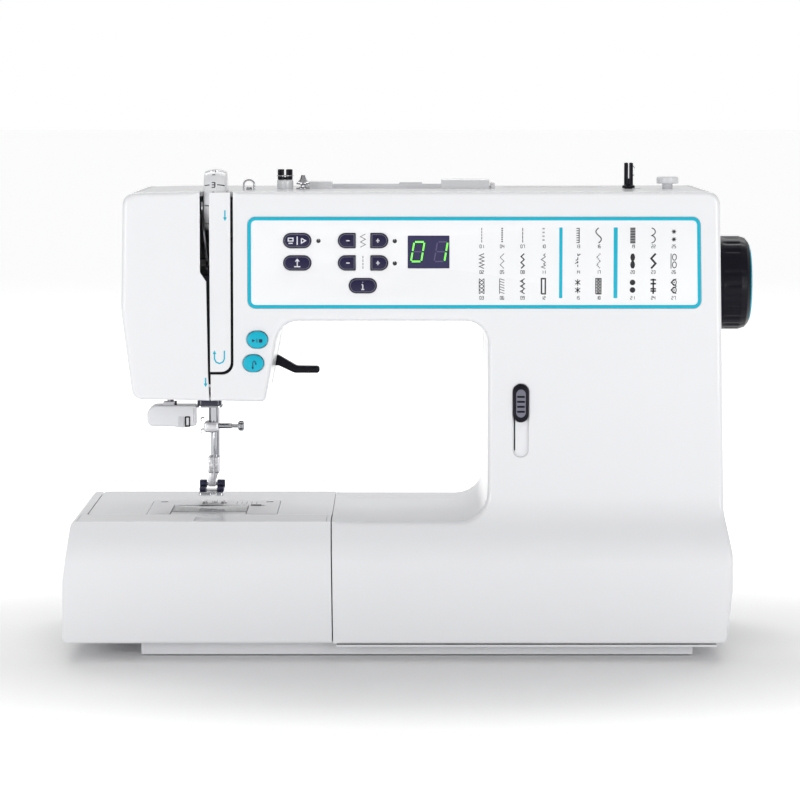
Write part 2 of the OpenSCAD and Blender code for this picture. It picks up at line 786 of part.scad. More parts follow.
module speed_slider() {
    top = slider_z0 + slider_l - 0.2;
    knob = [top - 24, top];
    mid = (knob[0] + knob[1]) / 2;
    color(dark) {
        pill_upright(slider_x, mid, slider_w - 0.4, 24, [arm_front - 2, arm_front + 1.8]);
        box([slider_x - 1.1, slider_x + 1.1], [arm_front + 1.8, arm_front + wall + 0.4],
            [knob[0] + 8, knob[0] + 17.5]);
        box([slider_x - 4, slider_x + 4], [arm_front + wall + 0.4, arm_front + wall + 1.6],
            [knob[0] + 6, knob[1] - 4]);
    }
}
// a bar with round ends standing upright, seen along Y
module pill_upright(x, z, w, h, y) {
    r = w / 2;
    box([x - r, x + r], y, [z - h / 2 + r, z + h / 2 - r]);
    for (s = [-1, 1]) cyl_y(x, y, z + s * (h / 2 - r), r);
}
module tension_dial() {
    color([0.9, 0.9, 0.92]) difference() {
        cyl_x([dial_x0, dial_x1], dial_y, dial_z, dial_r);
        cyl_x([dial_x0 - 1, dial_x1 + 1], dial_y, dial_z, 1.45);
    }
}
module winder_arm() {
    color([0.3, 0.3, 0.32]) difference() {
        box([118, 150], [-18, -2], [278, 281]);
        cyl_z(winder_x, winder_y, [270, 290], 2.55);
    }
}
module winder_spindle() {
    color(dark) difference() {
        union() {
            cyl_z(winder_x, winder_y, [274, arm_top + 1], 2.5);
            cyl_z(winder_x, winder_y, [arm_top + 1, 309.1], 2.9);
            cyl_z(winder_x, winder_y, [arm_top + 0.3, arm_top + 2.2], 4.1);
            cyl_z(winder_x, winder_y, [282, 286.5], 9);
        }
        box([winder_x - 0.45, winder_x + 0.45], [-20, 0], [arm_top + 6, 320]);
    }
}
module carry_handle() {
    grip_z = [arm_top - 2.3, arm_top + 1.9];
    color(casing_white) {
        cyl_x([-67, -52], handle_y, handle_z, 4.7);
        cyl_x([18, 49], handle_y, handle_z, 5.9);
        cyl_x([-69.4, -67], handle_y, handle_z, 1.5);
        cyl_x([49, 51.4], handle_y, handle_z, 1.5);
        difference() {
            union() {
                box([-64, -55], [handle_y, 30], grip_z);
                box([30, 40], [handle_y, 30], grip_z);
            }
            cyl_x([-67, 49], handle_y, handle_z, 4.7);
        }
        difference() {
            box([-64, 40], [28, 40.4], grip_z);
            box([-64, -55], [27, 30], [280, 300]);
            box([30, 40], [27, 30], [280, 300]);
        }
        box([-9, 6], [34, 38], [grip_z[1], grip_z[1] + 1]);
    }
}
module spool_pin() {
    color(dark) {
        cyl_y(spool_x, [20.6, 35.4], spool_z, 3.5);
        cyl_y(spool_x, [18.4, 20.6], spool_z, 1.2);
        cyl_y(spool_x, [35.4, 37.6], spool_z, 1.2);
        difference() {
            cyl_x([spool_x, spool_x + 58], spool_y, spool_z, 2.5);
            cyl_y(spool_x, [20, 36], spool_z, 3.5);
        }
    }
}
module power_switch() {
    color(dark) {
        box([196, 201.4], [22, 34], [socket_z - 7.4, socket_z + 7.4]);
        cyl_y(198, [21.7, 34.3], socket_z, 1.5);
    }
}
module feed_bar() {
    color(steel) difference() {
        box([-139, -121], [14, 32], [68, 75]);
        for (s = [-4, 4]) cyl_z(needle_x + s, 20, [60, 80], 1.55);
    }
}
module feed_dog() {
    color(steel) {
        for (s = [-6, 0, 6]) {
            box([needle_x + s - 1, needle_x + s + 1], [s == 0 ? 16.4 : needle_y, 23],
                [80, plate_z - 0.5]);
        }
        box([needle_x - 8, needle_x + 8], [17, 23], [78, 81]);
        for (s = [-4, 4]) cyl_z(needle_x + s, 20, [71, 79], 1.5);
    }
}

base_plate();
rubber_feet();
front_cover();
rear_cover();
top_cover();
face_cover();
thread_strip();
thread_channel();
free_arm_cover();
cast_frame();
shaft_bushes();
needle_plate();
bobbin_case();
control_panel();
display_window();
circuit_board();
sewing_lamp();
socket_panel();
motor_housing();
drive_belts();
thread_guides();
pretension_post();
winder_stopper();
extension_tray();
tray_lid();
handwheel();
main_shaft();
motor_pulley();
lower_shaft();
rotary_hook();
bobbin();
bobbin_cover();
cover_latch();
needle_bar();
clamp_screw();
needle();
take_up_lever();
presser_bar();
presser_foot();
lifter_lever();
needle_threader();
buttonhole_lever();
start_button();
reverse_button();
needle_key();
lock_key();
width_minus_key();
width_plus_key();
length_minus_key();
length_plus_key();
select_key();
speed_slider();
tension_dial();
winder_arm();
winder_spindle();
carry_handle();
spool_pin();
power_switch();
feed_bar();
feed_dog();
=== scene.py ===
"""Free-arm sewing machine: finished surfaces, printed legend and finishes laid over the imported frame."""

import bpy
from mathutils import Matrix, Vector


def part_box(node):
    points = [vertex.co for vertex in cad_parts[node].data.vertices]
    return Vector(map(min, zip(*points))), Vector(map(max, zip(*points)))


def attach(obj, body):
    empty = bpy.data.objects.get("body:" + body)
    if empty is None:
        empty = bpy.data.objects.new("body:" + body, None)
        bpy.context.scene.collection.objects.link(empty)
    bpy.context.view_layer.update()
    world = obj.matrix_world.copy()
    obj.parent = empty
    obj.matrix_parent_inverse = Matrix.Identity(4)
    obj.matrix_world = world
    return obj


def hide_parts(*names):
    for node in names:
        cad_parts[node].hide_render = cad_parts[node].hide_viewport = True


bl_info = {
    "name": "Sewing machine",
    "version": (1, 0, 0),
    "blender": (4, 5, 0),
    "location": "3D View > Sidebar > Sewing machine",
    "description": "Builds the moulded covers, controls and needle parts of a free-arm sewing machine",
    "category": "Add Mesh",
}

import math

import bmesh
import bpy
import numpy as np
from mathutils import Vector
from mathutils.geometry import delaunay_2d_cdt

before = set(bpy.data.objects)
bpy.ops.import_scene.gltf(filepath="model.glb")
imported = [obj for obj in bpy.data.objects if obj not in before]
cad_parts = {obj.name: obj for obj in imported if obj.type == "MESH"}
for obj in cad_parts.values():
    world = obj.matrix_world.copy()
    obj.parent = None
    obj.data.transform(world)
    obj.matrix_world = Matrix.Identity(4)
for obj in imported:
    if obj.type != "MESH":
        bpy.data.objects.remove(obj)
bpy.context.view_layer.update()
MM = 0.001
SHARP = math.radians(38.0)


def span(node):
    """A node's lowest and highest corners, in millimetres."""
    low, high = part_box(node)
    return np.array(low) / MM, np.array(high) / MM


# ---------------------------------------------------------------- settings
class CasingSettings(bpy.types.PropertyGroup):
    """Sizes of the moulded covers, in millimetres."""
    edge: bpy.props.FloatProperty(
        name="Edge radius", description="Rounding of the outer edges, in mm", default=3.0, min=0.5, max=4.0)
    rim: bpy.props.FloatProperty(
        name="Seam radius", description="Rounding at seams and slots, in mm", default=0.55, min=0.1, max=1.0)
    wall: bpy.props.FloatProperty(
        name="Wall", description="Thickness of the covers, in mm", default=2.4, min=1.5, max=3.0)
    colour: bpy.props.FloatVectorProperty(
        name="Casing", description="Colour of the covers", subtype="COLOR", size=3,
        default=(0.80, 0.805, 0.825), min=0.0, max=1.0)


class TrimSettings(bpy.types.PropertyGroup):
    """Colours of the trim, keys and display."""
    teal: bpy.props.FloatVectorProperty(
        name="Trim", description="Colour of the border, bars and round buttons", subtype="COLOR", size=3,
        default=(0.006, 0.44, 0.60), min=0.0, max=1.0)
    key: bpy.props.FloatVectorProperty(
        name="Keys", description="Colour of the keys", subtype="COLOR", size=3,
        default=(0.014, 0.011, 0.05), min=0.0, max=1.0)
    lit: bpy.props.FloatVectorProperty(
        name="Digits", description="Colour of the lit digits", subtype="COLOR", size=3,
        default=(0.16, 0.76, 0.07), min=0.0, max=1.0)
    crown: bpy.props.FloatProperty(
        name="Key crown", description="Height of a key's dome, in mm", default=0.25, min=0.0, max=0.6)


class StudioSettings(bpy.types.PropertyGroup):
    """Camera and light."""
    lens: bpy.props.FloatProperty(
        name="Lens", description="Focal length, in mm", default=158.99, min=20.0, max=400.0)
    pitch: bpy.props.FloatProperty(
        name="Pitch", description="How far the camera looks down", subtype="ANGLE",
        default=math.radians(5.0), min=0.0, max=1.5)
    distance: bpy.props.FloatProperty(
        name="Distance", description="From the arm's front to the camera", unit="LENGTH",
        default=2.2, min=0.5, max=10.0)
    fill: bpy.props.FloatProperty(
        name="Surround", description="Strength of the white surround", default=0.62, min=0.0, max=3.0)


def casing():
    """The covers' settings."""
    return bpy.context.scene.sewing_casing


def trim():
    """The trim colours' settings."""
    return bpy.context.scene.sewing_trim


def studio():
    """The camera and light settings."""
    return bpy.context.scene.sewing_studio


# ---------------------------------------------------------------- shader groups and finishes
def shader_group(name, sockets, outputs):
    """A group with named inputs and outputs; returns it with its two end nodes."""
    group = bpy.data.node_groups.new(name, "ShaderNodeTree")
    for label, kind, value in sockets:
        group.interface.new_socket(label, in_out="INPUT", socket_type=kind).default_value = value
    for label, kind in outputs:
        group.interface.new_socket(label, in_out="OUTPUT", socket_type=kind)
    return group, group.nodes.new("NodeGroupInput"), group.nodes.new("NodeGroupOutput")


def noise(group, vector, scale, detail=2.0, roughness=0.5):
    """A Noise texture's value; scale is a number or a socket."""
    node = group.nodes.new("ShaderNodeTexNoise")
    group.links.new(vector, node.inputs["Vector"])
    if isinstance(scale, bpy.types.NodeSocket):
        group.links.new(scale, node.inputs["Scale"])
    else:
        node.inputs["Scale"].default_value = scale
    node.inputs["Detail"].default_value = detail
    node.inputs["Roughness"].default_value = roughness
    return node.outputs["Fac"]


def compute(group, operation, *values):
    """A Math node; each value is a number or a socket."""
    node = group.nodes.new("ShaderNodeMath")
    node.operation = operation
    for socket, value in zip(node.inputs, values):
        if isinstance(value, bpy.types.NodeSocket):
            group.links.new(value, socket)
        else:
            socket.default_value = value
    return node.outputs[0]


def varied(group, source, name, amount):
    """source plus or minus amount, following the mask name."""
    return compute(group, "MULTIPLY_ADD", compute(group, "SUBTRACT", name, 0.5), amount, source)


def toned(group, colour, mask, tone):
    """colour made lighter or darker by the share tone, following mask."""
    node = group.nodes.new("ShaderNodeHueSaturation")
    group.links.new(colour, node.inputs["Color"])
    group.links.new(varied(group, 1.0, mask, tone), node.inputs["Value"])
    return node.outputs[0]


def surface_group(name, stretched):
    """Colour tone, roughness spread and fine relief on Object coordinates.
    Relief is fine noise; with stretched, the noise is drawn out along one axis, as brushing is."""
    inputs = [("Colour", "NodeSocketColor", (0.8, 0.8, 0.8, 1)), ("Tone", "NodeSocketFloat", 0.04),
              ("Roughness", "NodeSocketFloat", 0.3), ("Spread", "NodeSocketFloat", 0.08),
              ("Grain", "NodeSocketFloat", 900.0)]
    if stretched:
        inputs.append(("Direction", "NodeSocketVector", (1.0, 1.0, 1.0)))
    group, start, end = shader_group(
        name, inputs, [("Colour", "NodeSocketColor"), ("Roughness", "NodeSocketFloat"),
                       ("Height", "NodeSocketFloat")])
    place = group.nodes.new("ShaderNodeTexCoord").outputs["Object"]
    fine_place = place
    if stretched:
        mapping = group.nodes.new("ShaderNodeMapping")
        group.links.new(place, mapping.inputs["Vector"])
        group.links.new(start.outputs["Direction"], mapping.inputs["Scale"])
        fine_place = mapping.outputs["Vector"]
    broad = noise(group, place, 22.0, 3.0)
    fine = noise(group, fine_place, start.outputs["Grain"], 3.0, 0.6)
    mask = compute(group, "MULTIPLY_ADD", fine, 0.45, compute(group, "MULTIPLY", broad, 0.55))
    group.links.new(toned(group, start.outputs["Colour"], mask, start.outputs["Tone"]), end.inputs["Colour"])
    group.links.new(varied(group, start.outputs["Roughness"], mask, start.outputs["Spread"]),
                    end.inputs["Roughness"])
    group.links.new(fine, end.inputs["Height"])
    return group


FINISHES = {}


def finish(name, colour, roughness, metallic=0.0, tone=0.04, spread=0.08, grain=900.0, relief=0.08,
           direction=None, coat=0.0, specular=0.5, clear=0.0, ior=1.46, glow=0.0):
    """A material: a surface group feeds colour, roughness and a bump; the rest is set on the shader."""
    if name in FINISHES:
        return FINISHES[name]
    kind = "Brushed metal" if direction else "Moulded surface"
    group = bpy.data.node_groups.get(kind) or surface_group(kind, bool(direction))
    material = bpy.data.materials.new(name)
    material.use_nodes = True
    tree = material.node_tree
    shader = tree.nodes["Principled BSDF"]
    node = tree.nodes.new("ShaderNodeGroup")
    node.node_tree = group
    for label, value in (("Colour", (*colour, 1.0)), ("Tone", tone), ("Roughness", roughness),
                         ("Spread", spread), ("Grain", grain)):
        node.inputs[label].default_value = value
    if direction:
        node.inputs["Direction"].default_value = direction
    tree.links.new(node.outputs["Colour"], shader.inputs["Base Color"])
    tree.links.new(node.outputs["Roughness"], shader.inputs["Roughness"])
    bump = tree.nodes.new("ShaderNodeBump")
    bump.inputs["Strength"].default_value = relief
    bump.inputs["Distance"].default_value = 0.0002
    tree.links.new(node.outputs["Height"], bump.inputs["Height"])
    tree.links.new(bump.outputs["Normal"], shader.inputs["Normal"])
    shader.inputs["Metallic"].default_value = metallic
    shader.inputs["Coat Weight"].default_value = coat
    shader.inputs["Coat Roughness"].default_value = 0.08
    shader.inputs["Specular IOR Level"].default_value = specular
    shader.inputs["IOR"].default_value = ior
    shader.inputs["Transmission Weight"].default_value = clear
    if glow:
        tree.links.new(node.outputs["Colour"], shader.inputs["Emission Color"])
        shader.inputs["Emission Strength"].default_value = glow
    material.diffuse_color = (*colour, 1.0)
    FINISHES[name] = material
    return material


def white_plastic():
    return finish("casing white", tuple(casing().colour), 0.24, tone=0.018, spread=0.06, grain=1500, relief=0.03,
                  coat=0.25)


def pale_plastic():
    return finish("pale grey plastic", (0.62, 0.62, 0.645), 0.32, tone=0.03, grain=1300, relief=0.05)


def dark_plastic():
    return finish("black grained plastic", (0.006, 0.006, 0.011), 0.32, tone=0.3, spread=0.12, grain=2200,
                  relief=0.2, specular=0.16)


def key_plastic():
    return finish("navy key plastic", tuple(trim().key), 0.20, tone=0.25, spread=0.1, grain=1800, relief=0.04,
                  coat=0.1, specular=0.3)


def teal_plastic():
    return finish("teal plastic", tuple(trim().teal), 0.26, tone=0.06, spread=0.08, grain=1600, relief=0.03,
                  specular=0.3)


def ink():
    return finish("printed grey ink", (0.03, 0.03, 0.035), 0.5, tone=0.25, grain=3000, relief=0.05, specular=0.2)


def pale_ink():
    return finish("printed white ink", (0.78, 0.78, 0.84), 0.45, tone=0.08, grain=3000, relief=0.05)


def chrome():
    return finish("chrome plate", (0.46, 0.465, 0.49), 0.10, metallic=1.0, tone=0.05, spread=0.05, grain=700,
                  relief=0.02)


def satin_steel():
    return finish("satin steel", (0.66, 0.66, 0.68), 0.30, metallic=1.0, tone=0.08, spread=0.12, grain=900,
                  relief=0.12, direction=(0.06, 1.0, 1.0))


def turned_steel():
    return finish("turned steel", (0.50, 0.50, 0.52), 0.26, metallic=1.0, tone=0.12, spread=0.14, grain=1600,
                  relief=0.14, direction=(1.0, 0.08, 0.08))


def cast_alloy():
    return finish("cast alloy", (0.46, 0.47, 0.48), 0.52, metallic=0.85, tone=0.18, spread=0.2, grain=420,
                  relief=0.6)


def bronze():
    return finish("sintered bronze", (0.42, 0.25, 0.10), 0.42, metallic=1.0, tone=0.2, spread=0.2, grain=1500,
                  relief=0.3)


def rubber():
    return finish("black rubber", (0.02, 0.02, 0.022), 0.62, tone=0.3, spread=0.15, grain=800, relief=0.35)


def clear_plastic():
    return finish("clear plastic", (0.93, 0.95, 0.97), 0.06, tone=0.02, spread=0.03, grain=500, relief=0.02,
                  clear=0.85, ior=1.49)


def display_glass():
    return finish("display window", (0.040, 0.036, 0.098), 0.14, tone=0.12, spread=0.04, grain=2600, relief=0.02,
                  specular=0.3)


def lit_digit():
    return finish("lit digit", tuple(trim().lit), 0.4, tone=0.35, spread=0.1, grain=1800, relief=0.02, glow=0.75)


def unlit_digit():
    return finish("unlit digit", (0.085, 0.07, 0.16), 0.35, tone=0.1, spread=0.05, grain=1800, relief=0.02)


def board_green():
    return finish("coated board", (0.02, 0.13, 0.05), 0.35, tone=0.3, spread=0.15, grain=700, relief=0.3)


def milky_lens():
    return finish("milky lens", (0.95, 0.93, 0.84), 0.3, tone=0.04, grain=900, relief=0.05, glow=1.2)


def dark_enamel():
    return finish("dark enamel", (0.045, 0.046, 0.052), 0.38, tone=0.2, spread=0.15, grain=600, relief=0.25,
                  coat=0.2)


# ---------------------------------------------------------------- curves, grids and pieces
def rounded(points, n=6):
    """Rounds each corner [x, z, radius] of a closed outline: the arc's centre lies on the bisector at
    radius / sin(half angle), and n steps turn from one side's tangent point to the other's."""
    points = np.asarray(points, float)
    out = []
    for k, (x, z, r) in enumerate(points[:, :3]):
        b = np.array([x, z])
        if r <= 0:
            out.append(b[None])
            continue
        u = points[k - 1, :2] - b
        v = points[(k + 1) % len(points), :2] - b
        u, v = u / np.linalg.norm(u), v / np.linalg.norm(v)
        half = math.acos(np.clip(u @ v, -1, 1)) / 2
        centre = b + (u + v) / np.linalg.norm(u + v) * r / math.sin(half)
        s, e = b + u * r / math.tan(half) - centre, b + v * r / math.tan(half) - centre
        start = math.atan2(s[1], s[0])
        sweep = (math.atan2(e[1], e[0]) - start + 3 * math.pi) % (2 * math.pi) - math.pi
        a = start + sweep * np.linspace(0, 1, n + 1)
        out.append(centre + np.linalg.norm(s) * np.stack([np.cos(a), np.sin(a)], -1))
    return out


def loop(points, n=6):
    """A closed outline with rounded corners."""
    return np.concatenate(rounded(points, n))


def rectangle(x0, x1, y0, y1, r=0.3, n=3):
    """An outline with four equal rounded corners."""
    return loop([[x0, y0, r], [x1, y0, r], [x1, y1, r], [x0, y1, r]], n)


def outward(points):
    """Unit normals of a closed anticlockwise outline, lengthened at corners so that an offset keeps its
    distance from both sides; repeated points share a normal."""
    keep = np.linalg.norm(points - np.roll(points, 1, 0), axis=1) > 1e-6
    index = np.cumsum(keep) - 1
    p = points[keep]
    d = np.roll(p, -1, 0) - p
    d /= np.linalg.norm(d, axis=1)[:, None]
    side = np.stack([d[:, 1], -d[:, 0]], -1)
    both = side + np.roll(side, 1, 0)
    both /= np.maximum((both ** 2).sum(1, keepdims=True), 0.5) / 2
    return both[index % len(p)]


def turned_left(points):
    """The outline, anticlockwise: its signed area, from the sum of the sides' cross products, is above 0."""
    x, z = points[:, 0], points[:, 1]
    return points if np.sum(x * np.roll(z, -1) - np.roll(x, -1) * z) > 0 else points[::-1]


def inside(points, outline):
    """Whether each point is inside a closed outline: it crosses an odd number of sides."""
    a, b = outline, np.roll(outline, -1, 0)
    x, z = points[:, 0][:, None], points[:, 1][:, None]
    crosses = (a[:, 1] > z) != (b[:, 1] > z)
    at = a[:, 0] + (z - a[:, 1]) * (b[:, 0] - a[:, 0]) / np.where(b[:, 1] == a[:, 1], 1, b[:, 1] - a[:, 1])
    return (crosses & (x < at)).sum(1) % 2 == 1


def clearance(points, outline):
    """Distance from each point to the nearest side of an outline."""
    a, d = outline, np.roll(outline, -1, 0) - outline
    w = points[:, None] - a[None]
    t = np.clip((w * d).sum(-1) / np.maximum((d ** 2).sum(-1), 1e-12), 0, 1)
    return np.linalg.norm(w - t[..., None] * d, axis=-1).min(1)


def fill(outer, holes=(), xs=(), zs=()):
    """Triangles between an outline and its holes, through the crossings of the lines xs and zs that lie
    well inside; returns points and triangles, the outline's points first, then each hole's."""
    rings = [outer, *holes]
    points = np.concatenate(rings)
    edges, first = [], 0
    for ring in rings:
        i = np.arange(len(ring))
        edges.append(np.stack([i, (i + 1) % len(ring)], -1) + first)
        first += len(ring)
    if len(xs) and len(zs):
        net = np.stack(np.meshgrid(xs, zs), -1).reshape(-1, 2)
        good = inside(net, outer) & (clearance(net, outer) > 0.8)
        for hole in holes:
            good &= ~inside(net, hole) & (clearance(net, hole) > 0.8)
        points = np.concatenate([points, net[good]])
    made = delaunay_2d_cdt([Vector(p) for p in points], np.concatenate(edges).tolist(), [], 0, 1e-5)
    flat = np.array([tuple(v) for v in made[0]])
    tris = np.array(made[2])
    corner = flat[tris]
    middle, side = corner.mean(1), corner - np.roll(corner, 1, 1)
    area = np.abs(side[:, 0, 0] * side[:, 1, 1] - side[:, 0, 1] * side[:, 1, 0])
    good = inside(middle, outer) & (area > 2e-4 * np.linalg.norm(side, axis=2).max(1))
    for hole in holes:
        good &= ~inside(middle, hole)
    return flat, tris[good]


class Skin:
    """Gathers surfaces, in millimetres, that make up one piece."""

    def __init__(self):
        self.points, self.faces, self.count = [], [], 0

    def add(self, points, faces):
        """Adds points and the faces that number them from 0."""
        self.points.append(np.asarray(points, float).reshape(-1, 3))
        self.faces += (np.asarray(faces) + self.count).tolist()
        self.count += len(self.points[-1])

    def grid(self, p, around=False, along=False, caps=False, keep=None):
        """Quads between the rows and columns of p[row, column]; around joins the last column to the
        first, along the last row to the first, and caps closes the first and last rows."""
        p = np.asarray(p, float)
        n, m = p.shape[:2]
        i, j = np.meshgrid(np.arange(n if along else n - 1), np.arange(m if around else m - 1), indexing="ij")
        quads = np.stack([i * m + j, i * m + (j + 1) % m, (i + 1) % n * m + (j + 1) % m, (i + 1) % n * m + j], -1)
        quads = quads.reshape(-1, 4)
        if keep is not None:
            quads = quads[np.asarray(keep).reshape(-1)]
        base = self.count
        self.add(p, quads)
        if caps:
            for row in (0, n - 1):
                self.faces.append((base + row * m + np.arange(m)).tolist())
        return self

    def solid(self, p):
        """A closed solid: rings joined round, with the first and the last ring filled."""
        return self.grid(p, around=True, caps=True)

    def turned(self, profile, radius, centre, axis="z", n=40, hollow=False):
        """A profile of [radius, distance] rows with rounded corners, turned about an axis; hollow joins
        its last row to its first."""
        return self.grid(turn(bent(profile, radius), centre, axis, n), along=hollow)

    def sheet(self, outer, holes, place, xs=(), zs=()):
        """A filled outline, put in space by place(x, z)."""
        flat, tris = fill(outer, holes, xs, zs)
        self.add(place(flat[:, 0], flat[:, 1]), tris)
        return self

    def make(self, name, body, material, slot, stands_for="", wall=0.0, smooth=True):
        """Welds the surfaces, turns them outwards and makes the object, at the origin."""
        mesh = bpy.data.meshes.new(name)
        mesh.from_pydata((np.concatenate(self.points) * MM).tolist(), [], self.faces)
        mesh.materials.append(material)
        work = bmesh.new()
        work.from_mesh(mesh)
        bmesh.ops.remove_doubles(work, verts=work.verts, dist=4e-6)
        bmesh.ops.dissolve_degenerate(work, edges=work.edges, dist=2e-6)
        bmesh.ops.recalc_face_normals(work, faces=work.faces)
        work.to_mesh(mesh)
        work.free()
        mesh.polygons.foreach_set("use_smooth", np.full(len(mesh.polygons), smooth))
        mesh.set_sharp_from_angle(angle=SHARP)
        piece = bpy.data.objects.new(name, mesh)
        bpy.context.scene.collection.objects.link(piece)
        if wall:
            used, edged = np.zeros(len(mesh.loops), np.int32), np.zeros(len(mesh.edges), bool)
            mesh.loops.foreach_get("edge_index", used)
            mesh.edges.foreach_get("use_edge_sharp", edged)
            edged |= np.bincount(used, minlength=len(edged)) == 1
            mesh.edges.foreach_set("use_edge_sharp", edged)
            solid = piece.modifiers.new("wall", "SOLIDIFY")
            solid.thickness = wall * MM
            solid.offset = -1.0
            even = piece.modifiers.new("even shading", "WEIGHTED_NORMAL")
            even.keep_sharp = True
        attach(piece, body)
        if stands_for:
            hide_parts(stands_for)
        return piece


def circle(r, n=32):
    """A circle of n points about the origin."""
    a = np.arange(n) / n * 2 * math.pi
    return np.stack([r * np.cos(a), r * np.sin(a)], -1)


def turn(profile, centre, axis="z", n=40, ripple=None):
    """A surface of revolution: each profile row is [radius, distance along the axis from centre];
    ripple(angle, row) multiplies the radius."""
    profile = np.asarray(profile, float)
    a = np.arange(n) / n * 2 * math.pi
    r = np.repeat(profile[:, :1], n, 1)
    if ripple is not None:
        r = r * ripple(a[None], np.arange(len(profile))[:, None])
    u, v, w = r * np.cos(a), r * np.sin(a), np.repeat(profile[:, 1:2], n, 1)
    order = {"z": (u, v, w), "x": (w, u, v), "y": (v, w, u)}[axis]
    return np.stack(order, -1) + np.asarray(centre, float)


def bent(points, radius, n=4):
    """A profile of [radius, height] rows with every inner corner rounded."""
    points = np.asarray(points, float)
    inner = np.concatenate([points, np.full((len(points), 1), radius)], 1)
    inner[[0, -1], 2] = 0
    return np.concatenate(rounded(inner, n))


def tube(path, radius, n=10, closed=False):
    """A round section carried along a path; the section stays square to the path, and its turn about it
    follows a fixed upward direction."""
    path = np.asarray(path, float)
    if closed:
        t = np.roll(path, -1, 0) - np.roll(path, 1, 0)
    else:
        t = np.gradient(path, axis=0)
    t /= np.linalg.norm(t, axis=1)[:, None]
    spread = np.ptp(path, axis=0)
    up = np.eye(3)[np.argmin(spread)]
    side = np.cross(t, up)
    side /= np.maximum(np.linalg.norm(side, axis=1), 1e-9)[:, None]
    other = np.cross(side, t)
    ring = circle(1.0, n)
    r = np.broadcast_to(radius, (len(path),))[:, None, None]
    return path[:, None] + r * (ring[None, :, :1] * side[:, None] + ring[None, :, 1:] * other[:, None])


def quarter(radius, steps):
    """A quarter circle as steps + 1 rows of (distance in from the side, distance below the face)."""
    return [(radius * (1 - math.cos(a)), radius * (1 - math.sin(a)))
            for a in np.linspace(0, math.pi / 2, steps + 1)]


def standing(outline, y):
    """An X-Z outline as points in space, y away from the origin."""
    return np.stack([outline[:, 0], np.full(len(outline), y), outline[:, 1]], -1)


def slab(outline, y0, y1, edge=0.5, steps=4, crown=0.0, back_edge=0.0):
    """A solid with that X-Z outline from y0, its front, to y1: the front edge is a quarter circle of
    radius edge, and inside it the face rises by crown * (1 - s**2), where s runs from the middle out."""
    outline = turned_left(outline)
    normal = outward(outline)
    rows = []
    if back_edge:
        rows += [(outline - normal * inset, y1 - drop) for drop, inset in quarter(back_edge, steps)]
    else:
        rows.append((outline, y1))
    rows += [(outline - normal * inset, y0 + drop) for inset, drop in quarter(edge, steps)]
    if crown:
        rim, middle = rows[-1][0], rows[-1][0].mean(0)
        for s in (0.8, 0.55, 0.3, 0.1):
            rows.append((middle + (rim - middle) * s, y0 - crown * (1 - s * s)))
    return np.array([standing(flat, y) for flat, y in rows])


def block(x, y, z, edge=0.6, corner=1.0, n=4):
    """A box with rounded edges, its corners rounded in the X-Z view."""
    c = min(corner, (x[1] - x[0]) / 2 - 1e-3, (z[1] - z[0]) / 2 - 1e-3)
    return slab(rectangle(*x, *z, c, n), y[0], y[1], edge, back_edge=edge)


def pill(x, z, w, h, left=True, right=True, corner=0.5):
    """Outline of a bar whose left and right ends are half circles, or square with small corners."""
    r = h / 2 - 1e-3
    a, b = (r if left else corner), (r if right else corner)
    return loop([[x - w / 2, z - h / 2, a], [x + w / 2, z - h / 2, b], [x + w / 2, z + h / 2, b],
                 [x - w / 2, z + h / 2, a]], 8)


def strokes(paths, width, y0, y1):
    """Printed lines: each path of [x, z] points gets a flat rectangular section of that width, from y1
    to y0, mitred at its bends."""
    sections = []
    for path in paths:
        p = np.asarray(path, float)
        step = np.diff(p, axis=0)
        step /= np.maximum(np.linalg.norm(step, axis=1), 1e-9)[:, None]
        before = np.concatenate([step[:1], step])
        after = np.concatenate([step, step[-1:]])
        d = before + after
        d /= np.maximum(np.linalg.norm(d, axis=1), 1e-9)[:, None]
        side = np.stack([-d[:, 1], d[:, 0]], -1)
        cosine = np.clip((d * after).sum(1), 0.45, 1)[:, None]
        a, b = p + side * width / 2 / cosine, p - side * width / 2 / cosine
        sections.append(np.stack([standing(a, y0), standing(b, y0), standing(b, y1), standing(a, y1)], 1))
    return sections


def softened(node, width, body, material, name):
    """A copy of a CAD node's shape, merged and dissolved to whole faces, with its edges rounded."""
    limit = math.radians(32.0)
    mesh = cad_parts[node].data.copy()
    mesh.name = name
    mesh.materials.clear()
    mesh.materials.append(material)
    work = bmesh.new()
    work.from_mesh(mesh)
    bmesh.ops.remove_doubles(work, verts=work.verts, dist=2e-6)
    bmesh.ops.dissolve_limit(work, angle_limit=math.radians(0.6), verts=work.verts, edges=work.edges)
    work.to_mesh(mesh)
    work.free()
    for attribute in [a for a in mesh.attributes if a.name == "custom_normal"]:
        mesh.attributes.remove(attribute)
    mesh.polygons.foreach_set("material_index", np.zeros(len(mesh.polygons), np.int32))
    mesh.polygons.foreach_set("use_smooth", np.ones(len(mesh.polygons), bool))
    mesh.set_sharp_from_angle(angle=limit)
    piece = bpy.data.objects.new(name, mesh)
    bpy.context.scene.collection.objects.link(piece)
    bevel = piece.modifiers.new("edges", "BEVEL")
    bevel.width = width * MM
    bevel.segments = 3
    bevel.limit_method = "ANGLE"
    bevel.angle_limit = limit
    bevel.harden_normals = True
    bevel.use_clamp_overlap = True
    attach(piece, body)
    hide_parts(node)
    return piece


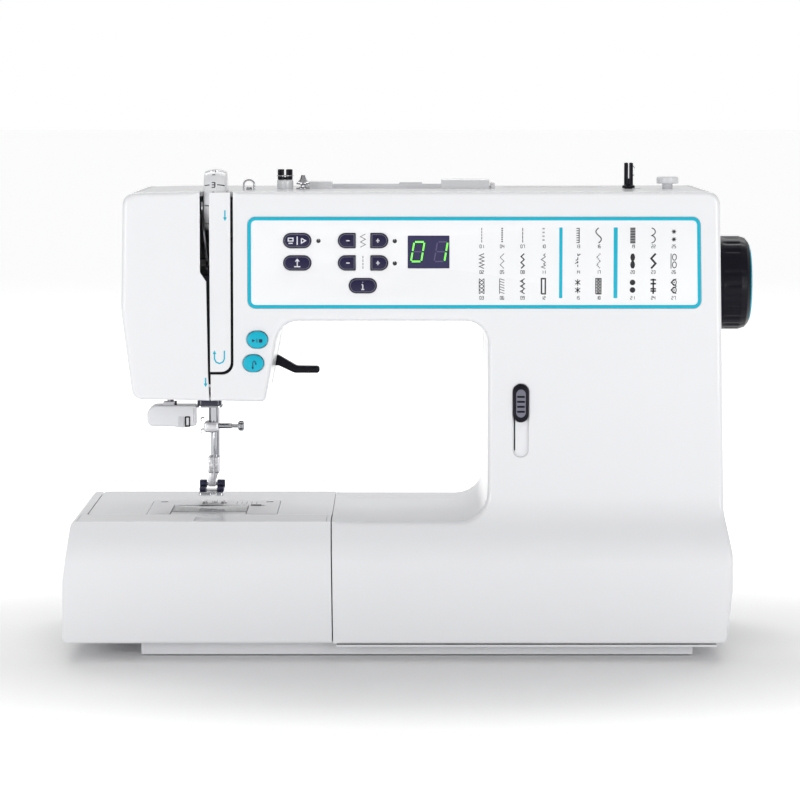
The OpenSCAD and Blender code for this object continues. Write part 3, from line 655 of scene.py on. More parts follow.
# ---------------------------------------------------------------- the covers' own curves
PART = 50.0            # depth at which the front and rear covers meet
SEAM = 0.15            # half the gap between them
SKIRT = 10.5           # their lower edge
DECK = 86.3            # top of the base, right of the free arm
ROOF = (-74.3, 60.3)   # depths between which the top cover lies
ROOF_REST = 289.4      # height down to which its rim reaches
LONGEST_STEP = 5.0     # between two points on a straight side
CASING_ZS = np.unique(np.concatenate([np.arange(15, 60, 7.5), np.arange(58, 104, 2.0),
                                     np.arange(106, 292, 8)]))
TOP = span("top_cover")[0][2] + 12.5
NONE = float("nan")    # a side without a wall
LEVELS = (-20.2, -12.0, 20.3, 30.7, 40.2, 46.0)   # depths at which the front walls are cut into rows
NEEDLE_X, NEEDLE_Y = span("needle")[0][:2] + 1.0
SLOPE = (np.array([-175.6, 162.9]), np.array([-92.9, 161.3]))


def profile_of(corners):
    """A height-to-depth curve with rounded corners, as a function of height."""
    p = np.concatenate(rounded(corners, 10))
    return lambda z: np.interp(z, p[:, 1], p[:, 0])


front_y = profile_of([[-97.5, -60, 0], [-97.5, 70, 30], [-84, 92, 30], [-84, 400, 0]])
rear_y = profile_of([[97.5, -60, 0], [97.5, 70, 20], [70, 92, 26], [67, 400, 0]])


def top_z(x):
    """The top's height: flat, falling slightly at the left end."""
    return TOP - 0.9 * np.clip((-138.0 - x) / 40.0, 0, 1) ** 2


def sole_z(x):
    """The head's underside: a straight line, slightly lower on the right."""
    return np.interp(x, [SLOPE[0][0], SLOPE[1][0]], [SLOPE[0][1], SLOPE[1][1]])


class Side:
    """Where a cover's face lies: put(u, v, w) gives points in space, w being the coordinate along the
    face's own axis, and at(u, v, depth) the point that far below the face."""

    def __init__(self, axis, inward, face):
        self.axis, self.inward, self.face = axis, inward, face

    def put(self, u, v, w):
        u, v, w = np.broadcast_arrays(u, v, w)
        return np.stack((u, w, v) if self.axis == "y" else (u, v, w), -1)

    def at(self, u, v, depth=0.0):
        return self.put(u, v, self.face(u, v) + self.inward * depth)


FRONT = Side("y", 1.0, lambda x, z: front_y(z))
REAR = Side("y", -1.0, lambda x, z: rear_y(z))
LID = Side("z", -1.0, lambda x, y: top_z(x))


def outline_rows(rows):
    """Corner rows [x, z, corner radius, edge radius, back] as a fine outline of the same columns: the
    edge radius changes evenly along a side, and a side keeps the back of the corner it starts from."""
    rows = np.asarray(rows, float)
    arcs = rounded(rows, 6)
    out = []
    for k, arc in enumerate(arcs):
        tail, head = arc[-1], arcs[(k + 1) % len(arcs)][0]
        t = np.linspace(0, 1, int(np.linalg.norm(head - tail) // LONGEST_STEP) + 2)[1:-1]
        here = np.concatenate([arc, tail + (head - tail) * t[:, None]])
        edge = np.concatenate([np.full(len(arc), rows[k, 3]),
                               rows[k, 3] + (rows[(k + 1) % len(rows), 3] - rows[k, 3]) * t])
        out.append(np.column_stack([here, edge, np.full(len(here), rows[k, 4])]))
    return np.concatenate(out)


def cover(skin, rows, side, holes, xs, zs, levels=LEVELS, gaps=()):
    """A moulded cover: its face fills the outline, a quarter circle of each point's own edge radius turns
    it over the edge, and walls run on to each point's back. gaps are boxes left out of the walls."""
    table = outline_rows(rows)
    flat, edge, back = table[:, :2], table[:, 2], table[:, 3]
    normal = outward(flat)
    rings = []
    for inset, drop in quarter(edge, 4):
        p = flat - normal * inset[:, None]
        rings.append(side.at(p[:, 0], p[:, 1], drop))
    skin.grid(np.array(rings), around=True)
    inner = flat - normal * edge[:, None]
    keep = np.linalg.norm(inner - np.roll(inner, 1, 0), axis=1) > 1e-6
    skin.sheet(inner[keep], holes, side.at, xs, zs)
    lip = rings[0]
    axis = "xyz".index(side.axis)
    walls = [lip]
    for level in [*levels, None]:
        end = back if level is None else np.where((back - level) * side.inward > 0, level, back)
        end = np.where((end - lip[:, axis]) * side.inward > 0, end, lip[:, axis])
        row = lip.copy()
        row[:, axis] = end
        walls.append(row)
    walls = np.array(walls)
    walls[:, :, axis] = np.where(np.isnan(walls[:, :, axis]), lip[None, :, axis], walls[:, :, axis])
    middle = (walls[:-1] + np.roll(walls, -1, 1)[1:]) / 2
    same = np.equal(back, np.roll(back, -1))[None] & np.ones(len(middle), bool)[:, None]
    for low, high in gaps:
        same &= ~((middle > np.array(low)) & (middle < np.array(high))).all(-1)
    skin.grid(walls, around=True, keep=same)
    return skin


def recess(skin, outline, side, depth, lip=0.5, holes=()):
    """A hollow: a quarter circle turns inwards at the opening, the wall goes down, and a floor fills it."""
    outline = turned_left(outline)
    normal = outward(outline)
    rows = [side.at(*(outline + normal * out).T, drop) for drop, out in quarter(lip, 3)]
    rows.append(side.at(*outline.T, depth))
    skin.grid(np.array(rows), around=True)
    skin.sheet(outline, holes, lambda u, v: side.at(u, v, depth))
    return outline + normal * lip


PANEL_CORNER = 5.0
PANEL = [[-103.6, 219.7], [179.6, 219.7], [178.6, 276.9], [-103.6, 276.9]]


def capsule(x, z, w, h, n=32):
    """An upright bar with round ends."""
    a = np.arange(n) / n * 2 * math.pi
    return np.stack([x + w / 2 * np.cos(a),
                     z + w / 2 * np.sin(a) + np.sign(np.sin(a) + 1e-9) * (h - w) / 2], -1)


def panel_loop(grow):
    """The control panel's outline, moved outwards by grow."""
    base = turned_left(loop([[x, z, PANEL_CORNER] for x, z in PANEL], 8))
    return base + outward(base) * grow


BUTTONS = {"start": (-97.6, 200.3), "reverse": (-100.1, 185.5)}
KEYS = {
    "needle_key": (-72.5, 262.1, 17.1, True, True), "lock_key": (-72.5, 248.2, 17.1, True, True),
    "select_key": (-31.7, 234.0, 17.1, True, True), "width_minus_key": (-41.7, 262.1, 10.6, True, False),
    "width_plus_key": (-21.4, 262.1, 10.6, False, True), "length_minus_key": (-41.7, 248.2, 10.6, True, False),
    "length_plus_key": (-21.4, 248.2, 10.6, False, True)}
KEY_H = 9.0
SLIDER_X = (span("speed_slider")[0][0] + span("speed_slider")[1][0]) / 2
SLOT = (126.4, 172.6, 10.0)


def casing_side(back):
    """The lower edge and the right end: corner rows from the free arm up to the top corner."""
    e, r = casing().edge, casing().rim
    return [[-50.4, SKIRT, 0, r, back], [-50.4, SKIRT, 0, r, NONE], [-46, SKIRT, 0, 2, NONE],
            [190, SKIRT, 0, 2, NONE], [190, SKIRT, 0, 2, back], [196, SKIRT, 3, 2.4, back],
            [199.6, 44, 20, e, back], [199.6, 66, 20, e, back], [194.6, 92, 40, e, back],
            [190.8, TOP, 8, e, back]]


def harp_rows(back):
    """The opening under the arm, from the head's underside to the bed's left end."""
    e, r = casing().edge, casing().rim
    return [[-92.9, 161.3, 3, 2.2, back], [-83.5, 211.9, 14, e, back], [46.5, 211.9, 14, e, back],
            [46.5, DECK, 18, e, back], [-47, DECK, 0, 2.2, back], [-51.3, DECK, 0, r, back]]


class SEWING_OT_front_cover(bpy.types.Operator):
    """Front cover: the arm's, column's and base's front with its openings"""
    bl_idname = "sewing.front_cover"
    bl_label = "Front cover"

    def execute(self, context):
        r, back = casing().rim, PART - SEAM
        rows = [*casing_side(back),
                [182.3, TOP, 0, 2.4, back], [182.3, TOP, 0, 2.4, ROOF[0]], [-109, TOP, 0, 2.4, ROOF[0]],
                [-112.6, TOP, 0, r, ROOF[0]], [-112.6, TOP, 0, r, NONE], [-112.6, 178.4, 7, r, NONE],
                [-126.9, 178.4, 0, r, NONE], [-126.9, sole_z(-126.9), 0, r, NONE],
                [-126.9, sole_z(-126.9), 0, r, back], [-122, sole_z(-122), 0, 2.2, back],
                [-105, sole_z(-105), 0, 2.2, back], *harp_rows(back)]
        skin = Skin()
        z_mid = sum(SLOT[:2]) / 2
        slot = capsule(SLIDER_X, z_mid, SLOT[2], SLOT[1] - SLOT[0])
        slit = loop([[SLIDER_X - 4.3, z_mid - 19, 0.5], [SLIDER_X - 3.4, z_mid - 19, 0.4],
                     [SLIDER_X - 3.4, z_mid + 15, 0.4], [SLIDER_X - 4.3, z_mid + 15, 0.5]], 2)
        opening = recess(skin, slot, FRONT, 2.2, 0.6, [slit])
        holes = [panel_loop(0.15), opening]
        holes += [pill(x, z, 13.7, 11.4) for x, z in BUTTONS.values()]
        cover(skin, rows, FRONT, holes, np.arange(-125, 199, 8.0), CASING_ZS,
              gaps=[((180, -20.3, 27), (220, 40.3, 61)), ((-99, 20.2, 166), (-75, 30.8, 197)),
                    ((-130, -12.1, 158), (-105, 46.1, 164))])
        skin.make("front_cover_skin", "machine_body", white_plastic(), "casing", "front_cover", casing().wall)
        return {"FINISHED"}


class SEWING_OT_face_cover(bpy.types.Operator):
    """Face cover on the left of the take-up slot, and the strip between the thread slots"""
    bl_idname = "sewing.face_cover"
    bl_label = "Face cover"

    def execute(self, context):
        e, r, back = casing().edge, casing().rim, PART - SEAM
        s = -127.7
        rows = [[-175.6, 162.9, 6, 2.4, back], [-133, sole_z(-133), 0, 2.2, back], [s, sole_z(s), 0, r, back],
                [s, sole_z(s), 0, r, NONE], [-128.5, 180, 0, r, NONE], [-129.4, 236.6, 0, r, NONE],
                [-133.2, 242.3, 0, r, NONE], [-133.2, TOP, 0, r, NONE], [-133.2, TOP, 0, r, ROOF[0]],
                [-138, TOP, 0, 2.4, ROOF[0]], [-172.8, top_z(-172.8), 0, 2.6, ROOF[0]],
                [-172.8, top_z(-172.8), 0, 2.6, back], [-181.3, TOP - 1.1, 8, e, back],
                [-182.7, 218, 60, e, back]]
        skin = cover(Skin(), rows, FRONT, (), np.arange(-180, -128, 8.0), np.arange(168, 291, 8.0),
                     gaps=[((-172, -12.1, 158), (-120, 46.1, 164))])
        skin.make("face_cover_skin", "machine_body", white_plastic(), "casing", "face_cover", casing().wall)
        strip = [[-127.15, 180, 0, r, NONE], [-114.2, 180, 6, r, NONE], [-114.2, TOP - 0.4, 0, r, NONE],
                 [-127.5, TOP - 0.4, 0, r, NONE]]
        skin = cover(Skin(), strip, FRONT, (), np.arange(-126, -114, 4.0), np.arange(184, 291, 8.0))
        skin.make("thread_strip_skin", "machine_body", white_plastic(), "casing", "thread_strip", 3.0)
        return {"FINISHED"}


class SEWING_OT_rear_cover(bpy.types.Operator):
    """Rear cover with its cooling slots"""
    bl_idname = "sewing.rear_cover"
    bl_label = "Rear cover"

    def execute(self, context):
        e, back = casing().edge, PART + SEAM
        rows = [*casing_side(back),
                [182.3, TOP, 0, 3, back], [182.3, TOP, 0, 3, ROOF[1]], [-172.8, top_z(-172.8), 0, 3, ROOF[1]],
                [-172.8, top_z(-172.8), 0, 3, back], [-181.3, TOP - 1.1, 8, e, back],
                [-182.7, 218, 60, e, back], [-175.6, 162.9, 6, 2.4, back], *harp_rows(back)]
        slots = [capsule(80 + 9 * k, 135, 3.8, 30, 16) for k in range(10)]
        skin = cover(Skin(), rows, REAR, slots, np.arange(-179, 199, 8.0), CASING_ZS, levels=())
        skin.make("rear_cover_skin", "machine_body", white_plastic(), "casing", "rear_cover", casing().wall)
        return {"FINISHED"}


WINDER_AT = (138.4, -10.0)
PRETENSION_AT = (-82, -20)


def slotted(x, y, r, reach, n=24):
    """A slot with round ends in the X-Y plane, its length along X, from x to x + reach."""
    a = np.arange(n) / n * 2 * math.pi + 1e-4
    return np.stack([x + r * np.cos(a) + np.where(np.cos(a) > 0, reach, 0), y + r * np.sin(a)], -1)


class SEWING_OT_top_cover(bpy.types.Operator):
    """Top cover with the dial window, the winder slot and the hollows for the handle and the spool pin"""
    bl_idname = "sewing.top_cover"
    bl_label = "Top cover"

    def execute(self, context):
        rows = [[x, y, corner, 0.6, ROOF_REST] for x, y, corner in (
            (-172.5, -74, 1.2), (-131.7, -74, 0.8), (-131.7, -39.8, 2), (-116.7, -39.8, 2), (-116.7, -74, 0.8),
            (182, -74, 1.2), (182, 60, 1.2), (-172.5, 60, 1.2))]
        skin = Skin()
        handle = loop([[-69.5, -11.6, 2], [52.5, -11.6, 2], [52.5, 7.5, 2], [41.2, 7.5, 1], [41.2, 41.4, 4],
                       [-65, 41.4, 4], [-65, 7.5, 1], [-69.5, 7.5, 2]], 4)
        tub = rectangle(58, 126, 20, 36, 3, 4)
        holes = [recess(skin, handle, LID, 3.4, 0.8), recess(skin, tub, LID, 10.2, 0.8),
                 slotted(*WINDER_AT, 3.6, 5.0)]
        cover(skin, rows, LID, holes, np.arange(-170, 182, 9.0), np.arange(-70, 60, 9.0), levels=())
        skin.make("top_cover_skin", "machine_body", white_plastic(), "casing", "top_cover", 1.2)
        ears = Skin()
        for x0, x1 in ((-70.6, -67.6), (49.6, 52.6)):
            ears.turned([[0, x0], [3.7, x0], [3.7, x1], [0, x1]], 0.5, (0, -5, TOP + 0.3), "x", 28)
            ears.solid(block((x0, x1), (-8.6, -1.4), (TOP - 3.4, TOP + 0.6), 0.4, 0.4))
        ears.make("handle_ears", "machine_body", white_plastic(), "casing")
        return {"FINISHED"}


class SEWING_OT_tray(bpy.types.Operator):
    """Extension tray round the free arm, its hinged lid, and the free arm's own cover"""
    bl_idname = "sewing.tray"
    bl_label = "Extension tray"

    def execute(self, context):
        softened("extension_tray", 1.5, "tray", white_plastic(), "extension_tray_shell")
        softened("tray_lid", 0.55, "tray_lid", white_plastic(), "tray_lid_plate")
        softened("free_arm_cover", 1.2, "machine_body", white_plastic(), "free_arm_shell")
        softened("base_plate", 1.0, "machine_body", white_plastic(), "base_plate_tray")
        return {"FINISHED"}


# ---------------------------------------------------------------- control panel
SHEET_Y = span("control_panel")[0][1]
KEY_FRONT = span("lock_key")[0][1]
BORDER = 2.25
HAIR = 0.04


def sheet_piece(skin, outline, holes, y0, y1, edge=0.25):
    """A flat sheet facing the front: its outer edge and the rims of its holes turn over a small radius."""
    outline = turned_left(outline)
    normal = outward(outline)
    rows = [(outline, y1)] + [(outline - normal * inset, y0 + drop) for inset, drop in quarter(edge, 3)]
    rims = []
    for hole in holes:
        hole = turned_left(hole)
        out = outward(hole)
        rims.append([(hole, y1)] + [(hole + out * inset, y0 + drop) for inset, drop in quarter(edge, 3)])
    for ring in [rows, *rims]:
        skin.grid([standing(flat, y) for flat, y in ring], around=True)
    for k, y in ((-1, y0), (0, y1)):
        skin.sheet(rows[k][0], [rim[k][0] for rim in rims],
                   lambda u, v, y=y: np.stack([u, np.full(len(u), y), v], -1))
    return skin


def flat_marks(skin, shapes, y0, y1):
    """Printed shapes: closed outlines carried from y1 to y0."""
    for shape in shapes:
        shape = turned_left(np.asarray(shape, float))
        skin.solid([standing(shape, y1), standing(shape, y0)])


def lines(skin, paths, width, y0, y1):
    """Printed lines of one width."""
    for section in strokes(paths, width, y0, y1):
        skin.solid(section)


class SEWING_OT_control_panel(bpy.types.Operator):
    """Control panel sheet with its coloured border and the two lamps beside the keys"""
    bl_idname = "sewing.control_panel"
    bl_label = "Control panel"

    def execute(self, context):
        window = rectangle(-3.7, 22.3, 244.8, 265.2, 0.5)
        holes = [window] + [pill(x, z, w + 0.6, KEY_H + 0.6, left, right)
                            for x, z, w, left, right in KEYS.values()]
        skin = sheet_piece(Skin(), panel_loop(0), holes, SHEET_Y, SHEET_Y + 1.25)
        skin.make("control_panel_sheet", "machine_body",
                  finish("panel white", (0.86, 0.865, 0.88), 0.3, tone=0.01, grain=1500, relief=0.02), "panel",
                  "control_panel")
        ring = sheet_piece(Skin(), panel_loop(-0.1), [panel_loop(-BORDER)], SHEET_Y - 0.25, SHEET_Y + 0.1,
                           0.12)
        ring.make("panel_border", "machine_body", teal_plastic(), "teal")
        lamps = Skin()
        for x, z in ((-59.3, 261.9), (-11.75, 261.8), (-11.75, 247.9)):
            lamps.grid(turn([[1.35, 0.3], [1.35, -0.1], [1.1, -0.22], [0.85, -0.2], [0.8, -0.12], [0, -0.1]],
                            (x, SHEET_Y, z), "y", 24))
        lamps.make("panel_lamps", "machine_body",
                   finish("smoked lamp", (0.035, 0.035, 0.04), 0.25, tone=0.3, grain=2600, relief=0.05), "lamp")
        return {"FINISHED"}


SEGMENTS = {"a": ((0, 2), (1, 2)), "b": ((1, 2), (1, 1)), "c": ((1, 1), (1, 0)), "d": ((0, 0), (1, 0)),
            "e": ((0, 0), (0, 1)), "f": ((0, 1), (0, 2)), "g": ((0, 1), (1, 1))}
FIGURES = {"0": "abcdef", "1": "bc", "2": "abged", "3": "abgcd", "4": "fgbc", "5": "afgcd", "6": "afgedc",
           "7": "abc", "8": "abcdefg", "9": "abcdfg"}


def figure_paths(text, x, z, width, height, slant=0.0, gap=0.0, pitch=1.5, shown=None):
    """Seven-stroke figures, centred on x and z: each stroke is a straight path between two corners."""
    out = []
    for k, letter in enumerate(text):
        left = x + (k - (len(text) - 1) / 2) * pitch * width - width / 2
        for name, ends in SEGMENTS.items():
            if (name in FIGURES[letter]) != (shown is not False):
                continue
            a, b = [np.array([left + u * width, z + (v - 1) * height / 2]) for u, v in ends]
            d = (b - a) / np.linalg.norm(b - a) * gap
            path = np.stack([a + d, b - d])
            path[:, 0] += (path[:, 1] - z) * slant
            out.append(path)
    return out


class SEWING_OT_display(bpy.types.Operator):
    """Display digits, lit and unlit"""
    bl_idname = "sewing.display"
    bl_label = "Display"

    def execute(self, context):
        y = span("display_window")[0][1]
        lit, dim = Skin(), Skin()
        for text, x in (("0", 2.55), ("1", 17.0)):
            lines(lit, figure_paths(text, x, 255.2, 6.4, 12.2, 0.17, 0.55), 1.05, y - 0.06, y + 0.2)
            lines(dim, figure_paths(text, x, 255.2, 6.4, 12.2, 0.17, 0.55, shown=False), 0.8, y - 0.03, y + 0.2)
        lit.make("display_digits", "machine_body", lit_digit(), "display", smooth=False)
        dim.make("display_unlit", "machine_body", unlit_digit(), "display", smooth=False)
        return {"FINISHED"}


def wave(z0, z1, x, width, turns, steps=1):
    """A path down a stitch column that swings as a cosine, width either side of x, with steps points to
    each half turn; with one step it is a zigzag."""
    t = np.arange(turns * steps + 1) / (turns * steps)
    return np.stack([x + width * np.cos(t * turns * math.pi), z1 + (z0 - z1) * t], -1)


def key_icons():
    """White marks on the keys: for each key, paths of [x, z] from its middle."""
    dash = [[[-1.1, 0], [1.1, 0]]]
    cross = [*dash, [[0, -1.3], [0, 1.3]]]
    return {
        "needle_key": [[[0, -2.6], [0, 2.6]], [[-5.6, 1.6], [-2.6, 1.6], [-2.6, -0.2], [-5.6, -0.2], [-5.6, 1.6]],
                       [[-5.4, -1.6], [-2.8, -1.6]], [[2.6, 1.5], [5.2, 0], [2.6, -1.5], [2.6, 1.5]]],
        "lock_key": [[[0, -2.2], [0, 2.0]], [[-1.2, 0.9], [0, 2.3], [1.2, 0.9]], [[-1.9, -2.3], [1.9, -2.3]]],
        "select_key": [[[0, -2.3], [0, 0.7]], [[-0.8, 0.7], [0.1, 0.7]], [[-0.9, -2.3], [0.9, -2.3]],
                       [[-0.1, 2.1], [0.1, 2.1]]],
        "width_minus_key": dash, "width_plus_key": cross, "length_minus_key": dash, "length_plus_key": cross}


class SEWING_OT_keys(bpy.types.Operator):
    """The seven keys, with a domed cap, a thin grey line of painted shade inside its edge for the shadowed gap,
    and a white mark each
    """
    bl_idname = "sewing.keys"
    bl_label = "Keys"

    def execute(self, context):
        icons = key_icons()
        for name, (x, z, w, left, right) in KEYS.items():
            outline = pill(x, z, w, KEY_H, left, right, 0.7)
            skin = Skin().solid(slab(outline, KEY_FRONT, SHEET_Y + 4.5, 0.75, 5, trim().crown))
            skin.make(name + "_cap", name, key_plastic(), "key", name)
            # Painted shade: a grey line just inside the key's edge stands for the shadowed gap round it.
            rim = panel_rim(outline)
            rim.make(name + "_gap_shade", name,
                     finish("painted key gap shade", (0.20, 0.20, 0.23), 0.3, tone=0.1, grain=2000, relief=0.03), "key")
            marks = Skin()
            front = KEY_FRONT - trim().crown
            shift = {"width_minus_key": 0.8, "length_minus_key": 0.8, "width_plus_key": -0.9,
                     "length_plus_key": -0.9}.get(name, 0)
            lines(marks, [np.array(p) + (x + shift, z) for p in icons[name]], 0.62, front - HAIR,
                  KEY_FRONT + 0.3)
            marks.make(name + "_mark", name, pale_ink(), "panel", smooth=False)
        return {"FINISHED"}


def panel_rim(outline):
    """A thin raised grey line that follows a key's outline just inside its edge: painted shade that stands for the
    shadowed gap round the key.
    """
    outline = turned_left(outline)
    normal = outward(outline)
    rows = [(0.62, 0.02), (0.62, -0.05), (0.84, -0.05), (0.84, 0.02)]
    return Skin().grid([standing(outline - normal * inset, KEY_FRONT + y) for inset, y in rows],
                       around=True, along=True)


COLUMNS = (42.4, 55.1, 67.9, 80.9, 102.3, 115.2, 136.5, 149.4, 162.1)
ROWS = ((260.6, 270.0, 258.5), (244.75, 254.0, 242.5), (228.9, 238.4, 226.4))
BARS = ((90.7, 92.75), (124.6, 127.1))
BOLD = 1.6


def star(x, z, r, points):
    """A star of radius r whose inner corners lie at 0.45 r."""
    k = np.arange(points * 2)
    a, reach = k / points * math.pi, np.where(k % 2, r * 0.45, r)
    return np.stack([x + reach * np.sin(a), z + reach * np.cos(a)], -1)


def dashes(x, z0, z1, count, share):
    """Equal dashes from z1 down to z0, each filling that share of its step."""
    ends = np.linspace(z1, z0, count + 1)
    return [[[x, a], [x, a + (b - a) * share]] for a, b in zip(ends[:-1], ends[1:])]


def stitches(x, z0, z1):
    """The 27 printed stitches, drawn down a column at x from z1 to z0: for each one its paths, their line
    width and its filled shapes."""
    m, w = (z0 + z1) / 2, 1.5
    left, right = [[x - w, z0], [x - w, z1]], [[x + w, z0], [x + w, z1]]
    t, t_wide = np.linspace(0, 1, 25), np.linspace(0, 1, 29)
    t_few = np.linspace(0, 1, 9)
    satin = 1.5 * (0.45 + 0.55 * np.abs(np.sin(t_few * math.pi * 2)))
    satin_z = z1 + (z0 - z1) * t_few
    tricot = wave(z0, z1, x, 1.1, 4)
    two, near = (m + 2.4, m - 2.4), (m + 2.35, m - 2.35)
    ring = np.stack([1.25 * np.cos(np.linspace(0, 2 * math.pi, 17)),
                     1.9 * np.sin(np.linspace(0, 2 * math.pi, 17))], -1)
    rings = [ring + (x + 0.4, z) for z in two]
    return [
        (dashes(x, z0, z1, 5, 0.8), 0.28, []),
        ([wave(z0, z1, x, w, 8)], 0.32, []),
        ([wave(z0, z1, x, w, 4), wave(z0, z1, x, -w, 4), left, right], 0.26, []),
        (dashes(x, z0, z1, 7, 0.6), 0.6, []),
        ([wave(z0, z1, x, 1.2, 4)], 0.22, []),
        ([left] + [[[x - w, z], [x + w, z - 1.0]] for z in np.linspace(z0 + 1.2, z1, 6)], 0.24, []),
        (dashes(x, z0, z1, 4, 0.86), 0.32, []),
        ([wave(z0, z1, x, 1.0, 5)], 0.45, []),
        ([wave(z0, z1, x, 1.4, 6), wave(z0, z1, x + 0.3, 0.6, 6)], 0.3, []),
        (dashes(x - 0.35, z0, z1, 4, 0.4) + dashes(x + 0.35, z0, z1, 4, 0.4), 0.28, []),
        ([np.stack([x + 1.2 - np.array([0, 1.1, 0, 1.1, 2.6, 1.1, 0, 1.1, 0, 2.6, 0]),
                    np.linspace(z1, z0, 11)], -1)], 0.28, []),
        ([[[x - 1.2, z0], [x - 1.2, z1], [x + 1.2, z1], [x + 1.2, z0], [x - 1.2, z0]]], 0.55, []),
        ([[[x + 0.8, z0], [x + 0.8, z1]]] + [[[x - 0.9, z], [x + 0.8, z]]
                                             for z in np.linspace(z0 + 0.3, z1 - 0.3, 7)], 0.34, []),
        (dashes(x, z0, z1, 4, 0.6) + [[[x, m + 3.2], [x + 1.6, m + 4.4]], [[x, m - 0.6], [x - 1.7, m - 1.6]],
                                      [[x, m + 0.9], [x - 1.3, m + 0.4]]], 0.34, []),
        ([[[x - 2 * math.sin(a), z - 2 * math.cos(a)], [x + 2 * math.sin(a), z + 2 * math.cos(a)]]
          for z in two for a in (0.9, 2.24, math.pi)], 0.36, []),
        ([np.stack([x - 1.7 * np.sin(t * math.pi * 2), z1 + (z0 - z1) * t], -1)], 0.42, []),
        ([], 0.3, [star(a + (b - a) * share, c + (d - c) * share, 0.55, 4)
                   for (a, c), (b, d) in zip(tricot[:-1], tricot[1:]) for share in (0.1, 0.45, 0.8)]),
        ([[[x - 1.6, z0], [x - 1.6, z1], [x + 1.6, z1], [x + 1.6, z0], [x - 1.6, z0]],
          wave(z0, z1, x, 0.9, 5), wave(z0, z1, x, -0.9, 5)], 0.42, []),
        ([[[x - 1.6, z], [x + 1.6, z]] for z in np.linspace(z0 + 0.2, z1 - 0.2, 10)], 0.5, []),
        ([], 0.3, [np.concatenate([np.stack([x - satin, satin_z], -1),
                                   np.stack([x + satin, satin_z], -1)[::-1]])]),
        ([], 0.3, [circle(1.75, 20) + (x, z) for z in near]),
        ([np.stack([x - 1.2 + 2.3 * np.abs(np.sin(t_wide * math.pi * 2)) ** 0.6,
                    z1 + (z0 - z1) * t_wide], -1)], 0.4, []),
        ([wave(z0, z1, x, 1.4, 3)], 0.75, []),
        ([[[x, z0], [x, z1]]] + [[[x - 1.7, z], [x + 1.7, z]]
                                 for z in (m + 4, m + 1.6, m - 1.6, m - 3)], 0.6, []),
        ([], 0.3, [star(x, z, 1.8, 8) for z in two]),
        ([*rings, [[x - 1.7, z0], [x - 1.7, z1]]], 0.32, []),
        (rings + [wave(z0, z1, x, 1.6, 4, 4)], 0.34, [star(x + 0.3, z, 0.7, 5) for z in two])]


class SEWING_OT_legend(bpy.types.Operator):
    """Printed stitch chart: twenty-seven stitches with their numbers, two bars and the key marks"""
    bl_idname = "sewing.legend"
    bl_label = "Stitch chart"

    def execute(self, context):
        y0, y1 = SHEET_Y - HAIR, SHEET_Y + 0.2
        skin, numbers = Skin(), Skin()
        for c, x in enumerate(COLUMNS):
            for r, (z0, z1, label_z) in enumerate(ROWS):
                number = c * len(ROWS) + r + 1
                paths, width, shapes = stitches(x, z0, z1)[number - 1]
                lines(skin, paths, width * BOLD, y0, y1)
                flat_marks(skin, shapes, y0, y1)
                lines(numbers, figure_paths(f"{number:02d}", x, label_z, 0.95, 1.95), 0.33, y0, y1)
        lines(skin, [wave(258.0, 266.2, -31.6, 1.6, 5)], 0.34, y0, y1)
        lines(skin, dashes(-31.6, 244.0, 252.6, 4, 0.75), 0.42, y0, y1)
        skin.make("stitch_chart", "machine_body", ink(), "panel", smooth=False)
        numbers.make("stitch_numbers", "machine_body", ink(), "panel", smooth=False)
        bars = Skin()
        for x0, x1 in BARS:
            bars.solid(slab(rectangle(x0, x1, 226.2, 270.3, 0.4), SHEET_Y - 0.12, SHEET_Y + 0.2, 0.08, 2))
        bars.make("chart_bars", "machine_body", teal_plastic(), "teal")
        return {"FINISHED"}


def arrow_down(x, z, size):
    """An arrow head that points down, or up where size is below 0."""
    return [[x - size / 2, z + size / 2], [x, z - size / 2], [x + size / 2, z + size / 2]]


class SEWING_OT_buttons(bpy.types.Operator):
    """Start and reverse buttons, and the thread arrows printed on the head"""
    bl_idname = "sewing.buttons"
    bl_label = "Round buttons and arrows"

    def execute(self, context):
        y = span("start_button")[0][1]
        marks = {"start": ([[[-0.15, -1.1], [-0.15, 1.2]]],
                           [[[-3.2, -0.9], [-3.2, 1.1], [-1.1, 0.1]],
                            [[1.1, -1.1], [3.2, -1.1], [3.2, 1.0], [1.1, 1.0]]]),
                 "reverse": ([[[-0.3, -2.0], [-0.3, 1.0], [0.0, 1.7], [0.7, 2.0], [1.4, 1.6], [1.6, 0.6]]],
                             [[[-1.2, -1.8], [0.6, -1.8], [-0.3, -3.0]], [[0.9, 0.7], [2.3, 0.7], [1.6, -0.4]]])}
        for name, (x, z) in BUTTONS.items():
            node = name + "_button"
            outline = circle(1.0, 64) * (6.55, 5.4) + (x, z)
            skin = Skin().solid(slab(outline, y + 0.4, -80.0, 1.1, 5, 0.4))
            skin.make(node + "_cap", node, teal_plastic(), "teal", node)
            icon = Skin()
            paths, shapes = marks[name]
            lines(icon, [np.array(p) + (x, z - 0.6) for p in paths], 0.5, y - HAIR, y + 0.6)
            flat_marks(icon, [np.array(s) + (x, z - 0.6) for s in shapes], y - HAIR, y + 0.6)
            icon.make(node + "_mark", node, finish("navy ink", (0.004, 0.02, 0.07), 0.4, tone=0.2, grain=2600,
                                                   relief=0.05), "key", smooth=False)
        arrows = Skin()
        face = -84.0
        lines(arrows, [[[-117.5, 281.0], [-117.5, 276.4]],
                       [[-124.4, 191.4], [-124.4, 188.2], [-123.4, 186.2], [-121.3, 185.3], [-119.2, 186.2],
                        [-118.2, 188.2], [-118.2, 193.4]],
                       [[-130.0, 176.4], [-130.0, 172.6]]], 0.9, face - HAIR, face + 0.3)
        flat_marks(arrows, [arrow_down(-117.5, 275.4, 2.4), arrow_down(-124.4, 192.4, -2.4),
                            arrow_down(-130.0, 171.6, 2.4)], face - HAIR, face + 0.3)
        arrows.make("thread_arrows", "machine_body", teal_plastic(), "teal", smooth=False)
        return {"FINISHED"}


